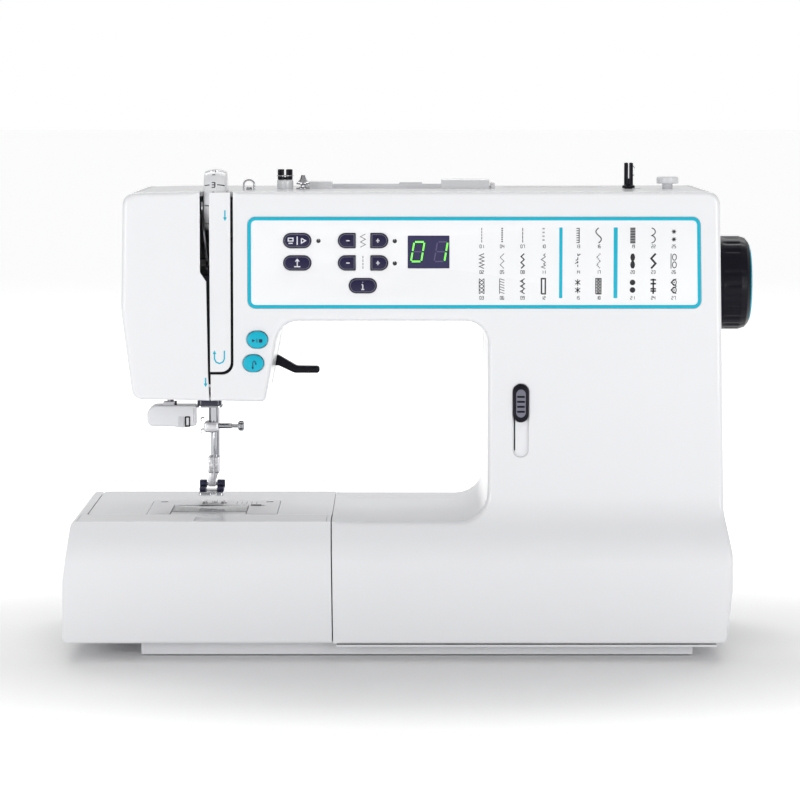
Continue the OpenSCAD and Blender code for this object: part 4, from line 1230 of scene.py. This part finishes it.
class SEWING_OT_speed_slider(bpy.types.Operator):
    """Speed slider: knob, its inner oval and four ribs"""
    bl_idname = "sewing.speed_slider"
    bl_label = "Speed slider"

    def execute(self, context):
        low, high = span("speed_slider")
        x, y, z0, z1 = SLIDER_X, low[1], high[2] - 24.0, high[2]
        skin = Skin()
        outline = rectangle(x - 4.8, x + 4.8, z0, z1, 4.79, 10)
        skin.solid(slab(outline, y, -82.3, 1.3, 5, 0.3))
        skin.solid(block((x - 1.1, x + 1.1), (-82.4, -80.6), (z0 + 8, z0 + 17.5), 0.2, 0.2))
        skin.solid(block((x - 4, x + 4), (-80.6, -79.4), (z0 + 6, z1 - 4), 0.2, 0.4))
        skin.make("speed_slider_knob", "speed_slider", dark_plastic(), "black", "speed_slider")
        oval = rectangle(x - 3.0, x + 3.0, z0 + 3.2, z1 - 3.2, 2.99, 10)
        grip = Skin().solid(slab(oval, y - 0.35, y + 0.6, 0.3, 3, 0.1))
        grip.make("speed_slider_oval", "speed_slider",
                  finish("grey grip", (0.17, 0.17, 0.22), 0.38, tone=0.2, grain=2000, relief=0.15), "black")
        ribs = Skin()
        for k in range(4):
            z = 164.6 - 3.12 * k
            ribs.solid(block((x - 2.5, x + 2.5), (y - 0.85, y), (z - 0.6, z + 0.6), 0.3, 0.5))
        ribs.make("speed_slider_ribs", "speed_slider", dark_plastic(), "black")
        return {"FINISHED"}


# ---------------------------------------------------------------- needle, presser and bed
PLATE_Z = span("needle_plate")[1][2]
SCREWS_X = (-163, -94)
PRESSER_Y = NEEDLE_Y + 16.0
FOOT_Z = span("presser_foot")[0][2]


def upright(outline, z0, z1, edge=0.3, back_edge=0.0, crown=0.0, steps=4):
    """A solid with an X-Y outline from z0 to z1, its top edge rounded."""
    p = slab(outline, -z1, -z0, edge, steps, crown, back_edge)
    return np.stack([p[..., 0], p[..., 2], -p[..., 1]], -1)


def plate_up(outline, holes, z0, z1, edge=0.2):
    """A drilled plate lying flat, from z0 to z1."""
    skin = sheet_piece(Skin(), outline, holes, -z1, -z0, edge)
    skin.points = [np.stack([p[:, 0], p[:, 2], -p[:, 1]], -1) for p in skin.points]
    return skin


class SEWING_OT_needle_bar(bpy.types.Operator):
    """Needle bar with its clamp and thread hooks, clamp screw and needle"""
    bl_idname = "sewing.needle_bar"
    bl_label = "Needle bar"

    def execute(self, context):
        x, y = NEEDLE_X, NEEDLE_Y
        skin = Skin()
        skin.turned([[0, 139.5], [3.3, 139.5], [3.3, 284], [0, 284]], 0.5, (x, y, 0), n=36)
        skin.turned([[3.2, 202], [4.4, 202], [4.4, 210], [3.2, 210]], 0.4, (x, y, 0), n=36, hollow=True)
        skin.turned([[0, 3.2], [3, 3.2], [3, 8.4], [0, 8.4]], 0.4, (x, y, 205), "x", 24)
        skin.make("needle_bar_rod", "needle_bar", chrome(), "chrome", "needle_bar")
        clamp = Skin()
        clamp.solid(block((x - 6.2, x + 3.3), (4, 15.5), (133.5, 140.6), 1.0, 2.2, 6))
        clamp.solid(block((x - 4.4, x + 2.4), (3.4, 5.0), (135.0, 139.2), 0.4, 1.2, 5))
        clamp.make("needle_clamp", "needle_bar", satin_steel(), "chrome")
        a = np.linspace(-0.5, 4.2, 14)
        hooks = Skin()
        for z in (141.9, 134.4):
            path = np.stack([x - 6.9 + 1.25 * np.cos(a), np.full(14, 6.0), z + 1.25 * np.sin(a)], -1)
            hooks.solid(tube(path, 0.42, 8))
        hooks.make("needle_thread_hooks", "needle_bar", turned_steel(), "chrome")
        x0 = x + 3.6
        screw = Skin().grid(turn(bent([[0, -2.2], [1.7, -2.2], [1.7, 8], [1.2, 8.4], [1.2, 12.4], [2.6, 12.4],
                                       [3.3, 13.4], [3.3, 15.4], [2.5, 16.2], [0, 16.2]], 0.25), (x0, y, 137.3),
                                 "x", 48, lambda a, row: 1 - 0.035 * (np.cos(a * 12) > 0) * (row > 20)))
        screw.make("clamp_screw_knob", "clamp_screw", chrome(), "chrome", "clamp_screw")
        needle = Skin().grid(turn([[0, 135], [0.9, 135], [1.0, 134.7], [1.0, 124], [0.62, 122.4], [0.5, 104],
                                   [0.34, 101.2], [0.12, 99.3], [0, 99]], (x, y, 0), n=20))
        needle.make("needle_shank", "needle_bar", chrome(), "chrome", "needle")
        bore = [circle(3.75, 32) + (x, y)]
        guard = plate_up(rectangle(x - 10.4, x + 5.4, 2.4, 17.6, 3.0, 6), bore, 151.3, 160.8)
        guard.make("bar_guard", "machine_body",
                   finish("navy enamel", (0.012, 0.012, 0.04), 0.22, tone=0.25, grain=1200, relief=0.05, coat=0.5),
                   "black")
        rim = plate_up(rectangle(x - 11.0, x + 6.0, 1.8, 18.2, 3.2, 6), bore, 149.9, 151.3, 0.4)
        rim.make("bar_guard_rim", "machine_body", chrome(), "chrome")
        return {"FINISHED"}


class SEWING_OT_presser(bpy.types.Operator):
    """Presser bar, its ankle, the foot and the lifter lever"""
    bl_idname = "sewing.presser"
    bl_label = "Presser bar and foot"

    def execute(self, context):
        x, y = NEEDLE_X, PRESSER_Y
        skin = Skin()
        skin.turned([[0, 115.4], [3, 115.4], [3, 268], [0, 268]], 0.4, (x, y, 0), n=36)
        skin.turned([[2.9, 196], [5, 196], [5, 204], [2.9, 204]], 0.4, (x, y, 0), n=36, hollow=True)
        skin.solid(block((x + 4.5, -107), (y - 3, y + 2), (197, 201), 0.3, 0.4))
        skin.make("presser_bar_rod", "presser_bar", chrome(), "chrome", "presser_bar")
        ankle = Skin()
        ankle.solid(block((x - 4.3, x + 3.1), (y - 7.4, y + 4), (105.4, 116.2), 0.7, 0.9, 4))
        taper = [[x - 3.6, 105.9, 0.2], [x + 2.7, 105.9, 0.2], [x + 0.75, 101.0, 0.8], [x + 0.75, 96.4, 0.9],
                 [x - 4.35, 96.4, 0.9], [x - 4.35, 101.0, 0.8]]
        ankle.solid(slab(loop(taper, 4), 19.2, 25.8, 0.5, back_edge=0.5))
        ankle.turned([[0, -9.2], [2.3, -9.2], [2.3, -7.4], [0, -7.4]], 0.4, (x - 0.5, y, 110.6), "y", 28)
        ankle.make("presser_ankle", "presser_bar", satin_steel(), "chrome")
        sole_top = FOOT_Z + 2.0
        outline = loop([[-139.5, -1.5, 1.4], [-131.3, -1.5, 0.7], [-131.3, 4, 0.5], [-128.7, 4, 0.5],
                        [-128.7, -1.5, 0.7], [-123.5, -1.5, 1.4], [-123.5, 24.6, 0.8], [-139.5, 24.6, 0.8]], 5)
        a = np.linspace(0, 2 * math.pi, 33)[:-1]
        slot = np.stack([x + np.sign(np.cos(a)) * 3.0 + 1.5 * np.cos(a), NEEDLE_Y + 1.5 * np.sin(a)], -1)
        foot = plate_up(outline, [slot], FOOT_Z, sole_top, 0.45)
        foot.make("presser_sole", "presser_foot", chrome(), "satin", "presser_foot")
        ears = Skin()
        pin_z = FOOT_Z + 5.3
        for x0, x1 in ((-139.9, -135.1), (-128.5, -123.3)):
            ears.turned([[0, x0], [2.9, x0], [2.9, x1], [0, x1]], 0.7, (0, 22, pin_z), "x", 32)
            ears.solid(block((x0 + 0.3, x1 - 0.3), (10.5, 24), (sole_top - 0.2, pin_z - 1.2), 0.5, 0.5))
        ears.make("presser_ears", "presser_foot",
                  finish("blued steel", (0.045, 0.045, 0.085), 0.24, metallic=0.7, tone=0.3, grain=900, relief=0.1,
                         direction=(1.0, 0.1, 0.1)), "satin")
        pin = Skin().grid(turn([[0, -139.0], [1.2, -139.0], [1.2, -124.0], [0, -124.0]], (0, 22, pin_z), "x", 20))
        pin.make("presser_foot_pin", "presser_foot", chrome(), "satin")
        shape = loop([[-104, 186.5, 1], [-106, 181, 3], [-103.5, 175.6, 2], [-88, 175.8, 4], [-77.6, 170.9, 6],
                      [-61.2, 170.9, 1.8], [-61.2, 175.4, 1.8], [-76, 175.6, 6], [-88, 182.6, 6]], 5)
        lever = Skin().solid(slab(shape, y - 4, y + 3, 1.1, 4, back_edge=0.8))
        lever.make("lifter_lever_arm", "lifter_lever", dark_plastic(), "black", "lifter_lever")
        return {"FINISHED"}


class SEWING_OT_threader(bpy.types.Operator):
    """Needle threader block with its stem, step, ringed slot and tabs"""
    bl_idname = "sewing.threader"
    bl_label = "Needle threader"

    def execute(self, context):
        skin = Skin()
        outline = loop([[-173, 151.4, 6.5], [-173, 137.7, 4], [-157, 137.7, 6], [-150, 136.6, 5],
                        [-141, 138.2, 1.4], [-141, 151.4, 1.2]], 8)
        skin.solid(slab(outline, 2, 18, 1.6, 6, back_edge=1.0))
        skin.make("threader_block", "needle_threader", white_plastic(), "casing", "needle_threader")
        stem = Skin().turned([[0, 150.6], [2.2, 150.6], [2.2, 216], [0, 216]], 0.4, (-158, 10, 0), n=28)
        stem.make("threader_stem", "needle_threader", chrome(), "chrome")
        step = Skin()
        step.solid(block((-152.7, -148.6), (1.55, 3.5), (137.9, 144.1), 0.3, 0.5))
        step.solid(block((-162.5, -155.4), (4, 12), (150.8, 153.6), 0.3, 0.5))
        step.make("threader_step", "needle_threader", pale_plastic(), "casing")
        slot_ring = sheet_piece(Skin(), rectangle(-148.3, -144.9, 137.4, 144.3, 0.6, 4),
                                [rectangle(-147.5, -145.7, 138.3, 143.4)], 1.4, 2.6, 0.15)
        for x0, x1 in ((-157.4, -156.2), (-155.0, -153.8)):
            slot_ring.solid(block((x0, x1), (5, 8), (151, 154.0), 0.2, 0.3))
        slot_ring.make("threader_slot_ring", "needle_threader", dark_plastic(), "black")
        return {"FINISHED"}


class SEWING_OT_needle_plate(bpy.types.Operator):
    """Needle plate with its slots and screws, bobbin cover, latch and feed teeth"""
    bl_idname = "sewing.needle_plate"
    bl_label = "Needle plate and bobbin cover"

    def execute(self, context):
        x, z = NEEDLE_X, PLATE_Z
        outline = loop([[-170, -48, 1.2], [-155.4, -48, 0.4], [-155.4, 2.1, 0.6], [-106.6, 2.1, 0.6],
                        [-106.6, -48, 0.4], [-87, -48, 1.2], [-87, 27, 1.6], [-170, 27, 1.6]], 4)
        holes = [rectangle(x + s - 1.7, x + s + 1.7, y0, 25.5, 0.8) for s, y0 in ((-6, 7.5), (0, 14), (6, 7.5))]
        a = np.linspace(0, 2 * math.pi, 25)[:-1]
        for cx, cy, half, r in ((x, NEEDLE_Y, 2.3, 1.2), (-101, 0, 2.5, 2.5)):
            holes.append(np.stack([cx + np.where(np.cos(a) > 0, half, -half) + r * np.cos(a),
                                   cy + r * np.sin(a)], -1))
        holes += [circle(2.9, 28) + (sx, 20) for sx in SCREWS_X]
        plate = plate_up(outline, holes, z - 1.8, z, 0.3)
        plate.make("needle_plate_sheet", "machine_body", satin_steel(), "satin", "needle_plate")
        screws = Skin()
        for sx in SCREWS_X:
            screws.turned([[0, z - 1.2], [2.7, z - 1.2], [2.7, z - 0.15], [0, z + 0.1]], 0.3, (sx, 20, 0),
                          n=28)
        screws.make("plate_screws", "machine_body", chrome(), "chrome")
        # Painted shade: each screw's slot is a black bar that stands for the shade in its cut; the five thin lines
        # beside the needle are printed guide lines.
        slot_shade_and_lines = Skin()
        for sx in SCREWS_X:
            slot_shade_and_lines.solid(upright(rectangle(sx - 2.2, sx + 2.2, 19.65, 20.35, 0.2), z - 0.5, z + 0.12, 0.05))
        for k in range(5):
            gx = x + 15 + 3.2 * k
            slot_shade_and_lines.solid(upright(rectangle(gx - 0.14, gx + 0.14, 6, 20, 0.1), z - 0.2, z + 0.03, 0.02))
        slot_shade_and_lines.make("plate_slot_shade_and_marks", "machine_body", ink(), "black", smooth=False)
        lid = Skin().solid(upright(rectangle(-155, -107, -34.6, 1.7, 1.0, 4), z - 1.6, z - 0.1, 0.4))
        lid.make("bobbin_cover_window", "bobbin_cover", clear_plastic(), "clear", "bobbin_cover")
        lip = Skin().solid(upright(rectangle(-155, -107, -48.4, -35.2, 0.6, 4), z - 1.7, z - 0.3, 0.45))
        lip.make("bobbin_cover_lip", "bobbin_cover", satin_steel(), "clear")
        softened("cover_latch", 0.25, "cover_latch", dark_plastic(), "cover_latch_button")
        softened("feed_dog", 0.2, "feed_dog", satin_steel(), "feed_dog_rails")
        teeth = Skin()
        top = span("feed_dog")[1][2]
        for s in (-6, 0, 6):
            for ty in np.arange(11.0 if s else 17.2, 22.6, 1.1):
                teeth.solid(block((x + s - 0.9, x + s + 0.9), (ty, ty + 0.6), (top - 0.4, top + 0.25),
                                  0.12, 0.15, 2))
        teeth.make("feed_dog_teeth", "feed_dog", turned_steel(), "satin")
        softened("take_up_lever", 0.22, "take_up_lever", chrome(), "take_up_lever_plate")
        softened("buttonhole_lever", 0.5, "buttonhole_lever", white_plastic(), "buttonhole_lever_bar")
        return {"FINISHED"}


# ---------------------------------------------------------------- top fittings, handwheel and sockets
DIAL_LOW, DIAL_HIGH = span("tension_dial")
DIAL_R = (DIAL_HIGH[2] - DIAL_LOW[2]) / 2
DIAL_AT = (DIAL_LOW + DIAL_HIGH) / 2


def dial_radius(x):
    """The dial's radius falls as the square of the distance from its middle."""
    return DIAL_R - 1.5 * ((x - DIAL_AT[0]) / 7.0) ** 2


def on_dial(p):
    """Bends printed strokes round the dial: x stays, z is the distance round it, y the height above it."""
    r = dial_radius(p[..., 0]) - p[..., 1]
    a = p[..., 2] / DIAL_R
    return np.stack([p[..., 0], DIAL_AT[1] - r * np.cos(a), DIAL_AT[2] + r * np.sin(a)], -1)


class SEWING_OT_tension_dial(bpy.types.Operator):
    """Thread tension dial: a crowned, finely grooved barrel with numbers and lines round it"""
    bl_idname = "sewing.tension_dial"
    bl_label = "Tension dial"

    def execute(self, context):
        half = (DIAL_HIGH[0] - DIAL_LOW[0]) / 2
        u = np.linspace(-half + 0.5, half - 0.5, 61)
        groove = 0.07 * (np.abs(((u + 60.0) / 1.15) % 1 - 0.5) < 0.2)
        rows = [[0, -half], [dial_radius(DIAL_AT[0] + half) - 0.8, -half]]
        rows += [[dial_radius(DIAL_AT[0] + t) - g, t] for t, g in zip(u, groove)]
        rows += [[dial_radius(DIAL_AT[0] + half) - 0.8, half], [0, half]]
        Skin().grid(turn(rows, DIAL_AT, "x", 96)).make("tension_dial_barrel", "tension_dial", white_plastic(),
                                                       "dial", "tension_dial")
        marks = Skin()
        for figure in range(1, 10):
            s = math.radians(31 + 40 * (figure - 3)) * DIAL_R
            cx = DIAL_AT[0] - 0.8
            paths = figure_paths(str(figure), cx, s, 1.9, 3.4)
            paths.append([[cx - 0.9, s - 5.4], [cx, s - 4.9], [cx + 0.9, s - 5.4]])
            paths += [np.stack([np.linspace(a, b, 5), np.full(5, s + 0.1)], -1)
                      for a, b in ((DIAL_LOW[0] + 0.7, cx - 2.4), (cx + 2.4, DIAL_HIGH[0] - 0.7))]
            for section in strokes(paths, 0.62, -0.06, 0.3):
                marks.solid(on_dial(section))
        marks.make("tension_dial_numbers", "tension_dial", dark_plastic(), "dial", smooth=False)
        return {"FINISHED"}


def halves(skin, x, y, r, z0, z1, gap, edge=0.35):
    """A post split by a slit: two half rounds either side of it, gap apart."""
    a = np.linspace(-math.pi / 2, math.pi / 2, 15)
    for s in (-1, 1):
        arc = np.stack([x + s * (gap / 2 + (r - gap / 2) * np.cos(a)), y + r * np.sin(a)], -1)
        skin.solid(upright(arc, z0, z1, edge))
    return skin


class SEWING_OT_top_fittings(bpy.types.Operator):
    """Thread guides, pre-tension post, bobbin winder and its stopper, handle and spool pin"""
    bl_idname = "sewing.top_fittings"
    bl_label = "Top fittings"

    def execute(self, context):
        top, a = TOP, np.linspace(math.pi, 0, 13)
        arch = [[-107.6, -40, top - 0.6], [-107.6, -40, top + 2.5]]
        arch += [[-104.3 + 3.3 * math.cos(t), -40, top + 3.4 + 2.9 * math.sin(t)] for t in a]
        arch += [[-101, -40, top + 2.5], [-101, -40, top - 0.6]]
        guide = Skin().solid(tube(arch, 0.6, 12))
        guide.turned([[0, 0], [2.0, 0], [1.6, 1.6], [0, 1.9]], 0.3, (-104.4, -36, top), n=20)
        guide.turned([[0, 0], [4.4, 0], [4.4, 0.8], [1.7, 1.2], [1.7, 2.6], [4.4, 3.0], [4.4, 3.9],
                      [3.6, 4.4], [1.9, 6.4], [1.2, 8.9], [0, 9.0]], 0.3, (-70.5, -20, top))
        guide.make("thread_guide_set", "machine_body", turned_steel(), "chrome", "thread_guides")
        post = Skin().turned([[0, -0.3], [5.2, -0.3], [5.2, 5.2], [4.4, 6.1], [0, 6.1]], 0.7,
                             (*PRETENSION_AT, top))
        post.make("pretension_base", "machine_body", white_plastic(), "casing", "pretension_post")
        disc = Skin()
        halves(disc, *PRETENSION_AT, 4.8, top + 6, top + 12.6, 1.4, 0.5)
        disc.turned([[0, 6.0], [3.9, 6.0], [3.9, 7.6], [0, 7.6]], 0.2, (*PRETENSION_AT, top), n=32)
        disc.make("pretension_discs", "machine_body", dark_plastic(), "black")
        washer = Skin().turned([[4.75, 8.2], [5.4, 8.2], [5.4, 8.7], [4.75, 8.7]], 0.15, (*PRETENSION_AT, top),
                               hollow=True)
        washer.make("pretension_washer", "machine_body", turned_steel(), "chrome")
        x, y = WINDER_AT
        spindle = Skin()
        spindle.turned([[0, 274], [2.5, 274], [2.5, top + 0.3], [4.1, top + 0.3], [4.1, top + 1.7],
                        [2.9, top + 2.6], [2.9, top + 6.4], [0, top + 6.4]], 0.25, (x, y, 0))
        halves(spindle, x, y, 2.9, top + 6, 309.1, 0.9, 0.7)
        spindle.make("winder_spindle_post", "winder_spindle", dark_plastic(), "black", "winder_spindle")
        wheel = Skin().turned([[2.5, 282], [9, 282], [9, 286.5], [2.5, 286.5]], 0.6, (x, y, 0), n=48, hollow=True)
        wheel.make("winder_wheel", "winder_spindle", rubber(), "rubber")
        t = np.linspace(0.3, 5.4, 18)
        spring = np.stack([x + 3.0 + 0.9 * np.cos(t), np.full(18, y - 0.5), top + 11.4 + 3.0 * np.sin(t)], -1)
        wire = Skin().solid(tube(spring, 0.28, 8))
        wire.make("winder_spring", "winder_spindle", turned_steel(), "chrome")
        stopper = Skin().turned([[0, -0.2], [3.4, -0.2], [3.4, 3.2], [7.1, 3.2], [7.1, 6.6], [6.3, 7.6],
                                 [0, 7.7]], 0.6, (163.4, y, top), n=48)
        stopper.make("winder_stopper_disc", "machine_body", white_plastic(), "casing", "winder_stopper")
        softened("carry_handle", 0.9, "carry_handle", white_plastic(), "carry_handle_bar")
        softened("spool_pin", 0.6, "spool_pin", dark_plastic(), "spool_pin_rod")
        return {"FINISHED"}


class SEWING_OT_handwheel(bpy.types.Operator):
    """Handwheel: a black rim with finger hollows, a coloured ring and a domed cap"""
    bl_idname = "sewing.handwheel"
    bl_label = "Handwheel"

    def execute(self, context):
        low, high = span("handwheel")
        x0, edge, r = low[0], high[0] - low[0], (high[2] - low[2]) / 2
        centre = (x0, (low[1] + high[1]) / 2, (low[2] + high[2]) / 2)
        rows = bent([[0, 0], [r - 2.5, 0], [r - 0.5, 1.4], [r, 4.5], [r, edge - 8.5], [r - 1.2, edge - 4.6],
                     [r - 3.8, edge - 2.4], [r - 5.0, edge - 1.9], [r - 5.2, edge - 3.0], [0, edge - 3.0]], 1.0, 5)
        k = int(np.argmax(rows[:, 1] > 4.6))
        grip = np.stack([np.full(7, r), np.linspace(4.5, edge - 8.5, 9)[1:-1]], -1)
        body = np.concatenate([rows[:k], grip, rows[k:]])
        h = body[:, 1]
        fade = np.clip((h - 4.2) / 2.5, 0, 1) * np.clip((edge - 7.2 - h) / 2.5, 0, 1) * (body[:, 0] > r - 1.3)
        skin = Skin().grid(turn(body, centre, "x", 192,
                                lambda a, row: 1 - 0.022 * fade[row] * np.clip(np.cos(24 * a), 0, 1) ** 2))
        skin.make("handwheel_rim", "main_drive", dark_plastic(), "black", "handwheel")
        ring = Skin().turned([[r - 7.2, edge - 3.4], [r - 5.3, edge - 3.4], [r - 5.4, edge - 1.5],
                              [r - 7.0, edge - 1.1]], 0.25, centre, "x", 96, hollow=True)
        ring.make("handwheel_ring", "main_drive", teal_plastic(), "teal")
        t = np.linspace(0, 1, 9)
        cap = np.stack([(r - 7.3) * np.cos(t * math.pi / 2), edge - 2.2 + 2.0 * np.sin(t * math.pi / 2)], -1)
        dome = Skin().grid(turn(np.concatenate([[[0, edge - 3.6], [r - 7.3, edge - 3.6]], cap]), centre, "x", 96))
        dome.make("handwheel_cap", "main_drive", dark_plastic(), "black")
        return {"FINISHED"}


class SEWING_OT_sockets(bpy.types.Operator):
    """Socket panel, mains switch and rubber feet"""
    bl_idname = "sewing.sockets"
    bl_label = "Sockets and feet"

    def execute(self, context):
        softened("socket_panel", 0.5, "machine_body", dark_plastic(), "socket_panel_plate")
        softened("power_switch", 0.6, "power_switch", dark_plastic(), "power_switch_rocker")
        feet = Skin()
        for x in (-142, 161):
            for y in (-66, 66):
                feet.turned([[0, 3.8], [8, 3.8], [8, 1.0], [7.0, 0.0], [5.4, 0.0], [5.0, 0.5], [0, 0.5]],
                            0.4, (x, y, 0))
        feet.make("rubber_foot_pads", "machine_body", rubber(), "rubber", "rubber_feet")
        return {"FINISHED"}


# ---------------------------------------------------------------- finishes of the CAD nodes that stay
STAYING = {
    "thread_channel": dark_plastic, "cast_frame": cast_alloy, "shaft_bushes": bronze, "bobbin_case": dark_enamel,
    "circuit_board": board_green, "sewing_lamp": milky_lens, "motor_housing": dark_enamel,
    "drive_belts": rubber, "main_shaft": turned_steel, "motor_pulley": turned_steel,
    "lower_shaft": turned_steel, "rotary_hook": satin_steel, "bobbin": clear_plastic,
    "winder_arm": dark_enamel, "feed_bar": cast_alloy, "display_window": display_glass}


class SEWING_OT_inside_finishes(bpy.types.Operator):
    """Finishes of the frame, shafts, motor, boards and other inner parts"""
    bl_idname = "sewing.inside_finishes"
    bl_label = "Inner parts' finishes"

    def execute(self, context):
        for node, material in STAYING.items():
            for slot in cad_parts[node].material_slots:
                slot.link = "OBJECT"
                slot.material = material()
        return {"FINISHED"}


# ---------------------------------------------------------------- studio
def area_light(name, at, to, size, power):
    """A rectangular light at one point, turned towards another and unseen by the camera."""
    light = bpy.data.lights.new(name, "AREA")
    light.shape = "RECTANGLE"
    light.size, light.size_y = size
    light.energy = power
    holder = bpy.data.objects.new(name, light)
    holder.location = at
    holder.rotation_euler = (Vector(to) - Vector(at)).to_track_quat("-Z", "Y").to_euler()
    holder.visible_camera = False
    bpy.context.scene.collection.objects.link(holder)
    return holder


def surround():
    """White to the camera; to everything else white ahead and above, greyer to the sides, with two dark
    upright bands either side of the camera that give plated parts their contrast."""
    world = bpy.data.worlds.new("Surround")
    bpy.context.scene.world = world
    world.use_nodes = True
    tree = world.node_tree
    tree.nodes.clear()
    place = tree.nodes.new("ShaderNodeTexCoord").outputs["Generated"]
    parts = tree.nodes.new("ShaderNodeSeparateXYZ")
    tree.links.new(place, parts.inputs[0])
    side = compute(tree, "ABSOLUTE", parts.outputs["X"])
    falloff = compute(tree, "MULTIPLY_ADD", compute(tree, "POWER", side, 2.0), -0.22, 1.0)
    falloff = compute(tree, "MULTIPLY_ADD", compute(tree, "MAXIMUM", parts.outputs["Z"], 0.0), -0.18, falloff)
    falloff = compute(tree, "MULTIPLY_ADD", parts.outputs["Y"], 0.12, falloff)
    offset = compute(tree, "ABSOLUTE", compute(tree, "SUBTRACT", side, 0.84))
    band = compute(tree, "GREATER_THAN", offset, 0.055)
    ahead = compute(tree, "GREATER_THAN", parts.outputs["Y"], 0.0)
    level = compute(tree, "GREATER_THAN", compute(tree, "ABSOLUTE", parts.outputs["Z"]), 0.45)
    lit = compute(tree, "MAXIMUM", compute(tree, "MAXIMUM", band, ahead), level)
    strength = compute(tree, "MULTIPLY", falloff, compute(tree, "MULTIPLY_ADD", lit, 0.88, 0.12))
    strength = compute(tree, "MULTIPLY", strength, studio().fill)
    seen = tree.nodes.new("ShaderNodeLightPath").outputs["Is Camera Ray"]
    mixed = compute(tree, "MULTIPLY_ADD", seen, compute(tree, "SUBTRACT", 1.0, strength), strength)
    background = tree.nodes.new("ShaderNodeBackground")
    background.inputs["Color"].default_value = (1.0, 1.0, 1.0, 1.0)
    tree.links.new(mixed, background.inputs["Strength"])
    tree.links.new(background.outputs[0], tree.nodes.new("ShaderNodeOutputWorld").inputs["Surface"])


class SEWING_OT_studio(bpy.types.Operator):
    """Pale floor with a painted glow that grows away from the machine, soft light and the camera"""
    bl_idname = "sewing.studio"
    bl_label = "Studio"

    def execute(self, context):
        scene = context.scene
        scene.view_settings.view_transform = "Standard"
        mesh = bpy.data.meshes.new("floor")
        mesh.from_pydata([(-6, -4, 0), (6, -4, 0), (6, 30, 0), (-6, 30, 0)], [], [(0, 1, 2, 3)])
        # Painted light: the floor glows, not at all near the machine and up to 0.5 further out, so it turns white
        # away from the machine while the shadow near it stays.
        glowing_floor = finish("studio floor with painted glow", (0.95, 0.95, 0.952), 0.55, tone=0.004, spread=0.02, grain=60, relief=0.0,
                       specular=0.1, glow=0.5)
        tree = glowing_floor.node_tree
        away = tree.nodes.new("ShaderNodeVectorMath")
        away.operation = "LENGTH"
        oval = tree.nodes.new("ShaderNodeMapping")
        oval.inputs["Scale"].default_value = (0.7, 1.0, 1.0)
        tree.links.new(tree.nodes.new("ShaderNodeTexCoord").outputs["Object"], oval.inputs["Vector"])
        tree.links.new(oval.outputs["Vector"], away.inputs[0])
        spread = tree.nodes.new("ShaderNodeMapRange")
        spread.interpolation_type = "SMOOTHSTEP"
        for label, value in (("From Min", 0.12), ("From Max", 0.45), ("To Min", 0.0), ("To Max", 0.5)):
            spread.inputs[label].default_value = value
        tree.links.new(away.outputs["Value"], spread.inputs["Value"])
        tree.links.new(spread.outputs["Result"], tree.nodes["Principled BSDF"].inputs["Emission Strength"])
        mesh.materials.append(glowing_floor)
        floor = bpy.data.objects.new("floor", mesh)
        scene.collection.objects.link(floor)
        surround()
        target = (0.0, -0.05, 0.15)
        area_light("rear softbox", (0.0, 1.9, 2.3), target, (3.0, 1.4), 38.0)
        for side in (-1, 1):
            area_light(f"front softbox {side}", (1.5 * side, -2.2, 0.3), target, (0.8, 1.0), 17.5)
        camera = bpy.data.cameras.new("camera")
        camera.lens = studio().lens
        camera.sensor_width = 36.0
        camera.clip_end = 60.0
        holder = bpy.data.objects.new("camera", camera)
        holder.location = (-0.0085, -0.085 - studio().distance, 0.355)
        holder.rotation_euler = (math.pi / 2 - studio().pitch, 0.0, 0.0)
        scene.collection.objects.link(holder)
        scene.camera = holder
        return {"FINISHED"}


# ---------------------------------------------------------------- panel and start
STEPS = (
    SEWING_OT_front_cover, SEWING_OT_face_cover, SEWING_OT_rear_cover, SEWING_OT_top_cover, SEWING_OT_tray,
    SEWING_OT_control_panel, SEWING_OT_display, SEWING_OT_keys, SEWING_OT_legend, SEWING_OT_buttons,
    SEWING_OT_speed_slider, SEWING_OT_needle_bar, SEWING_OT_presser, SEWING_OT_threader,
    SEWING_OT_needle_plate, SEWING_OT_tension_dial, SEWING_OT_top_fittings, SEWING_OT_handwheel,
    SEWING_OT_sockets, SEWING_OT_inside_finishes, SEWING_OT_studio)


class SEWING_PT_panel(bpy.types.Panel):
    """Sewing machine"""
    bl_idname = "SEWING_PT_panel"
    bl_label = "Sewing machine"
    bl_space_type = "VIEW_3D"
    bl_region_type = "UI"
    bl_category = "Sewing machine"

    def draw(self, context):
        scene = context.scene
        for group in (scene.sewing_casing, scene.sewing_trim, scene.sewing_studio):
            box = self.layout.box()
            for name in group.__annotations__:
                box.prop(group, name)
        for step in STEPS:
            self.layout.operator(step.bl_idname)


SETTINGS = {"sewing_casing": CasingSettings, "sewing_trim": TrimSettings, "sewing_studio": StudioSettings}


def register():
    for name, group in SETTINGS.items():
        bpy.utils.register_class(group)
        setattr(bpy.types.Scene, name, bpy.props.PointerProperty(type=group))
    for step in (*STEPS, SEWING_PT_panel):
        bpy.utils.register_class(step)


def unregister():
    for step in reversed((*STEPS, SEWING_PT_panel)):
        bpy.utils.unregister_class(step)
    for name, group in SETTINGS.items():
        delattr(bpy.types.Scene, name)
        bpy.utils.unregister_class(group)


def main():
    """Registers the add-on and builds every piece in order."""
    register()
    for step in STEPS:
        getattr(bpy.ops.sewing, step.bl_idname.split(".")[1])()


if __name__ == "__main__":
    main()
